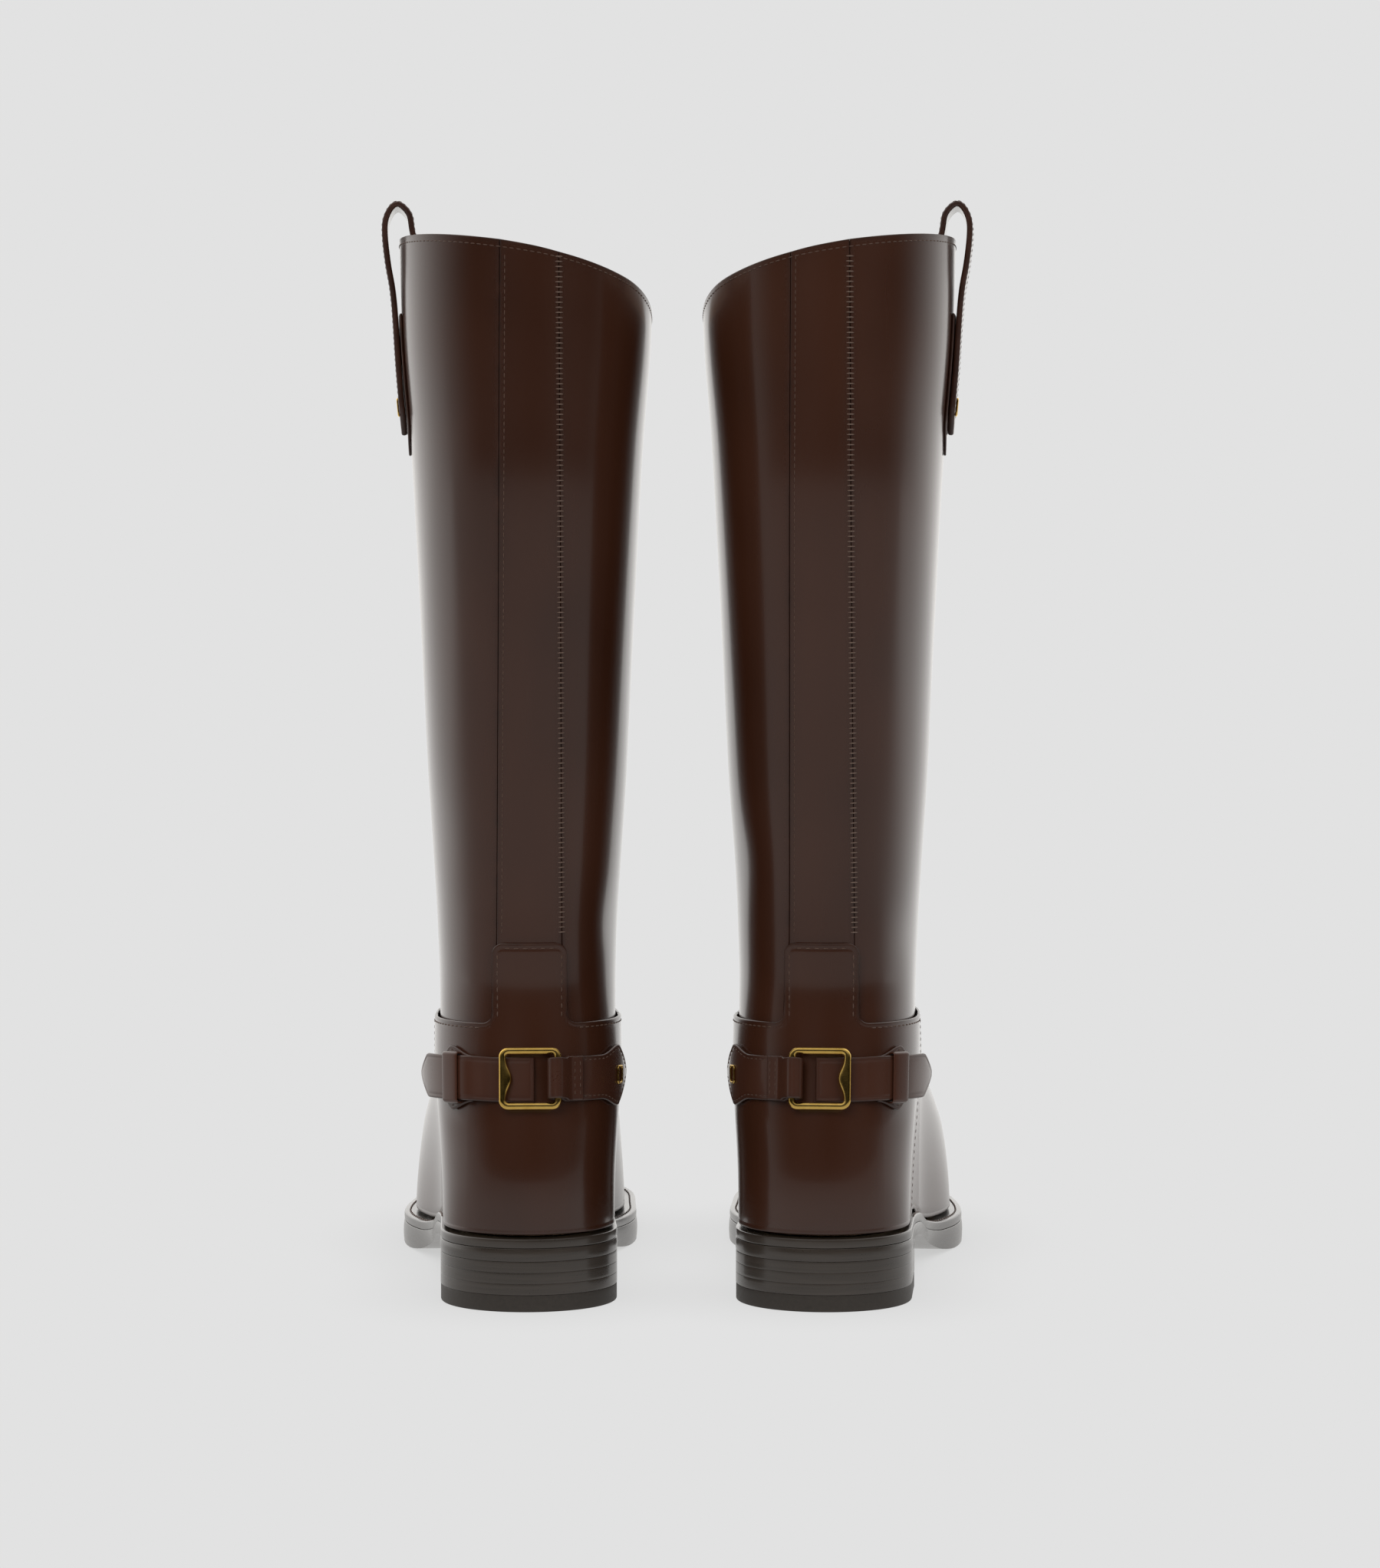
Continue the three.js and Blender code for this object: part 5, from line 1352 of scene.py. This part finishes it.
FINE = {"pitch": 2.1, "length": 1.6, "radius": 0.2}
WELT_ROW = {"pitch": 3.4, "length": 2.8, "radius": 0.4}
strap_face = STRAP_OFF + STRAP_THICK - 0.1
tab_face = STRAP_OFF + TAB_THICK - 0.1
stack_face = fold_top + STRAP_THICK / 2 - 0.04
for side in BOOTS:
    rows = []
    for sign in (1, -1):
        run = np.linspace(-ARROW_CORNER, bar_at - FOLD_TAIL - 0.8, 120)
        rows.append(strap_row(run, strap_face, sign * (arrow_half(run) - 1.6), **FINE))
        point = np.linspace(-ARROW_TIP + 2.4, -ARROW_CORNER - 0.4, 60)
        rows.append(strap_row(point, strap_face, sign * np.maximum(arrow_half(point) - 2.0, 0.3), **FINE))
        point = np.linspace(TAB_CORNER + 0.5, TAB_TIP - 2.4, 60)
        rows.append(strap_row(point, tab_face, sign * np.maximum(tab_half(point) - 2.0, 0.3), **FINE))
        run = np.linspace(TAB_FROM + 1, TAB_CORNER, 60)
        rows.append(strap_row(run, tab_face, sign * (tab_half(run) - 1.6), **FINE))
    for line in (bar_at - FOLD_TAIL + 1.4, bar_at - FOLD_TAIL + 3.4):
        up_line = np.linspace(-STRAP_HALF + 1.6, STRAP_HALF - 1.6, 40)
        rows.append(strap_row(line, stack_face, up_line, **FINE))
    sew("strap_stitching", side, rows, thread)
    curve = spline(pull_line)
    walk, _ = even(curve, np.linspace(0.02, 0.955, 500))
    rows = []
    for sign in (1, -1):
        edge = sign * (PULL_WIDTH / 2 - 1.6)
        path = beside_shaft(walk[:, 1], walk[:, 0], edge)
        heading = np.gradient(path, axis=0)
        rise = unit(np.cross(heading, np.array([0.0, 1.0, 0.0])))
        if rise[-1, 0] < 0:
            rise = -rise
        skin = path + rise * (PULL_THICK / 2 - 0.1)
        rows.append(stitches(skin, skin + rise, **FINE))
    sew("pull_loop_stitching", side, rows, thread)
    angle = np.linspace(float(angle_along(HEEL_BREAST)), 2 * np.pi - float(angle_along(HEEL_BREAST)), 900)
    path = outline(angle, mix(UPPER_FACE, welt_edge(angle), 0.45))
    path[:, 2] = seat(path[:, 1]) + SOLE_GAP + WELT
    sew("welt_stitching", side, [stitches(path, path + np.array([0, 0, 1.0]), **WELT_ROW)], thread)

# %% [markdown]
# ## What stays from the frame
#
# The hidden parts keep the frame's own solids, because nobody sees them but a cobbler: stiffeners, insole,
# cork, shank and screw. They still get a finish of their own. The foot's lining and the sock show down the
# shaft, and take the lining leather.

# %% Finishes for the frame's own nodes
KEPT = {
    "counter_stiffener": board, "toe_puff": board, "insole_board": board, "cork_filler": cork,
    "steel_shank": steel, "heel_screw": steel, "foot_lining": lining, "sock_liner": lining,
}
for side in BOOTS:
    for name, material in KEPT.items():
        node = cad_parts[f"{side}_{name}"]
        node.data.materials.clear()
        node.data.materials.append(material)
print("kept nodes", 2 * len(KEPT))

# %% [markdown]
# ## Floor, light and camera
#
# Polished leather is drawn by what it reflects. The room is pale beyond the boots and dim behind the
# camera, so the faces turned to the camera stay deep brown and the turning sides catch long pale
# highlights. A soft key light adds colour to the faces without showing up as a second highlight. The floor
# glows as evenly as the backdrop, with a painted shadow from ambient occlusion that darkens its glow near
# the soles. To reflected and diffuse rays it glows as painted light, brighter beyond the boots.

# %% Floor
BACKDROP = (0.7605, 0.7605, 0.7605)
floor_mesh = bpy.data.meshes.new("floor")
FLOOR_HALF = 30.0
corners = [(x * FLOOR_HALF, y * FLOOR_HALF, 0) for x, y in ((-1, -1), (1, -1), (1, 1), (-1, 1))]
floor_mesh.from_pydata(corners, [], [(0, 1, 2, 3)])
floor = bpy.data.objects.new("floor", floor_mesh)
bpy.context.scene.collection.objects.link(floor)
ground = Bench("pale_floor")
# Painted contact shadow: the floor's glow turns darker where ambient occlusion finds the soles near.
open_sky = ground.node("ShaderNodeAmbientOcclusion", {"samples": 8}, {"Distance": 0.05}, "AO")
floor_glow_painted_shadow = ground.blend(open_sky ** 0.6, shade(0.56, 0.56, 0.555), shade(*BACKDROP))
glow = ground.node("ShaderNodeEmission", {}, {"Color": floor_glow_painted_shadow, "Strength": 1.0})
# Painted light: to all rays but the camera's, the floor glows brighter beyond the boots than near the
# camera.
ahead = ground.node("ShaderNodeSeparateXYZ", {}, {"Vector": ground.place((1, 1, 1))}, "Y")
spread = {"Value": ahead, "From Min": -0.45, "From Max": 0.75, "To Min": 0.42, "To Max": 1.15}
bright = ground.node("ShaderNodeMapRange", {"interpolation_type": "SMOOTHSTEP"}, spread)
dim = ground.node("ShaderNodeEmission", {}, {"Color": shade(1, 0.99, 0.97), "Strength": bright})
straight = ground.node("ShaderNodeLightPath", {}, {}, "Is Camera Ray")
shown = ground.node("ShaderNodeMixShader", {}, {0: straight, 1: dim, 2: glow})
ground.put(ground.tree.nodes["Material Output"].inputs["Surface"], shown)
floor.data.materials.append(ground.material)

# %% Room light
world = bpy.data.worlds.new("studio")
world.use_nodes = True
bpy.context.scene.world = world
tree = world.node_tree
tree.nodes.clear()


def world_node(kind, settings=None, **sockets):
    made = tree.nodes.new(kind)
    for key, value in (settings or {}).items():
        setattr(made, key, value)
    for key, value in sockets.items():
        socket = made.inputs[key.replace("_", " ")]
        if isinstance(value, bpy.types.NodeSocket):
            tree.links.new(value, socket)
        else:
            socket.default_value = value
    return made


look = world_node("ShaderNodeTexCoord").outputs["Generated"]
axes = world_node("ShaderNodeSeparateXYZ", Vector=look).outputs
smoothstep = {"interpolation_type": "SMOOTHSTEP"}
to_left = world_node("ShaderNodeMath", {"operation": "MULTIPLY_ADD"})
tree.links.new(axes["X"], to_left.inputs[0])
to_left.inputs[1].default_value = -0.14
tree.links.new(axes["Y"], to_left.inputs[2])
beyond = world_node("ShaderNodeMapRange", smoothstep, Value=to_left.outputs[0], From_Min=-0.55,
                    From_Max=0.85, To_Min=0.008, To_Max=1.3).outputs[0]
above = world_node("ShaderNodeMapRange", smoothstep, Value=axes["Z"], From_Min=0.3, From_Max=0.95,
                   To_Min=0.0, To_Max=0.5).outputs[0]
total = tree.nodes.new("ShaderNodeMath")
tree.links.new(beyond, total.inputs[0])
tree.links.new(above, total.inputs[1])
room = world_node("ShaderNodeBackground", Color=(1, 0.985, 0.96, 1), Strength=total.outputs[0]).outputs[0]
seen = world_node("ShaderNodeBackground", Color=(*BACKDROP, 1), Strength=1.0).outputs[0]
ray = world_node("ShaderNodeLightPath").outputs["Is Camera Ray"]
both = world_node("ShaderNodeMixShader", Fac=ray)
tree.links.new(room, both.inputs[1])
tree.links.new(seen, both.inputs[2])
out = world_node("ShaderNodeOutputWorld")
tree.links.new(both.outputs[0], out.inputs["Surface"])


def lamp(name, place, aim, size, power, glossy):
    data = bpy.data.lights.new(name, "AREA")
    data.shape, data.size, data.size_y, data.energy = "RECTANGLE", size[0], size[1], power
    made = bpy.data.objects.new(name, data)
    made.location = place
    made.rotation_euler = (Vector(aim) - Vector(place)).to_track_quat("-Z", "Y").to_euler()
    made.visible_glossy = glossy
    made.visible_camera = False
    bpy.context.scene.collection.objects.link(made)


low, high = (Vector(corner) for corner in cad_box)
middle = (low + high) / 2
lamp("key", (-0.9, -2.4, 1.5), middle, (1.6, 1.6), 42, False)
lamp("fill", (1.6, -1.8, 0.9), middle, (1.4, 1.4), 16, False)

# %% Camera
SHAFT_MIDDLE = in_row("right", surface(2.0, np.pi / 2))[1]  # Y of the shafts' widest line
DISTANCE, HEIGHT, ASIDE = 1.5, 0.243, 0.0034
LENS, TILT = 87.2, 1.655  # millimetres, and degrees below level
camera_data = bpy.data.cameras.new("camera")
camera_data.sensor_fit = "AUTO"
camera_data.sensor_width = 36.0
camera_data.lens = LENS
camera = bpy.data.objects.new("camera", camera_data)
camera.location = (ASIDE, SHAFT_MIDDLE - DISTANCE, HEIGHT)
camera.rotation_euler = (np.radians(90 - TILT), 0, 0)
bpy.context.scene.collection.objects.link(camera)
bpy.context.scene.camera = camera
bpy.context.scene.view_settings.view_transform = "Standard"
print("camera at", tuple(round(value, 3) for value in camera.location))
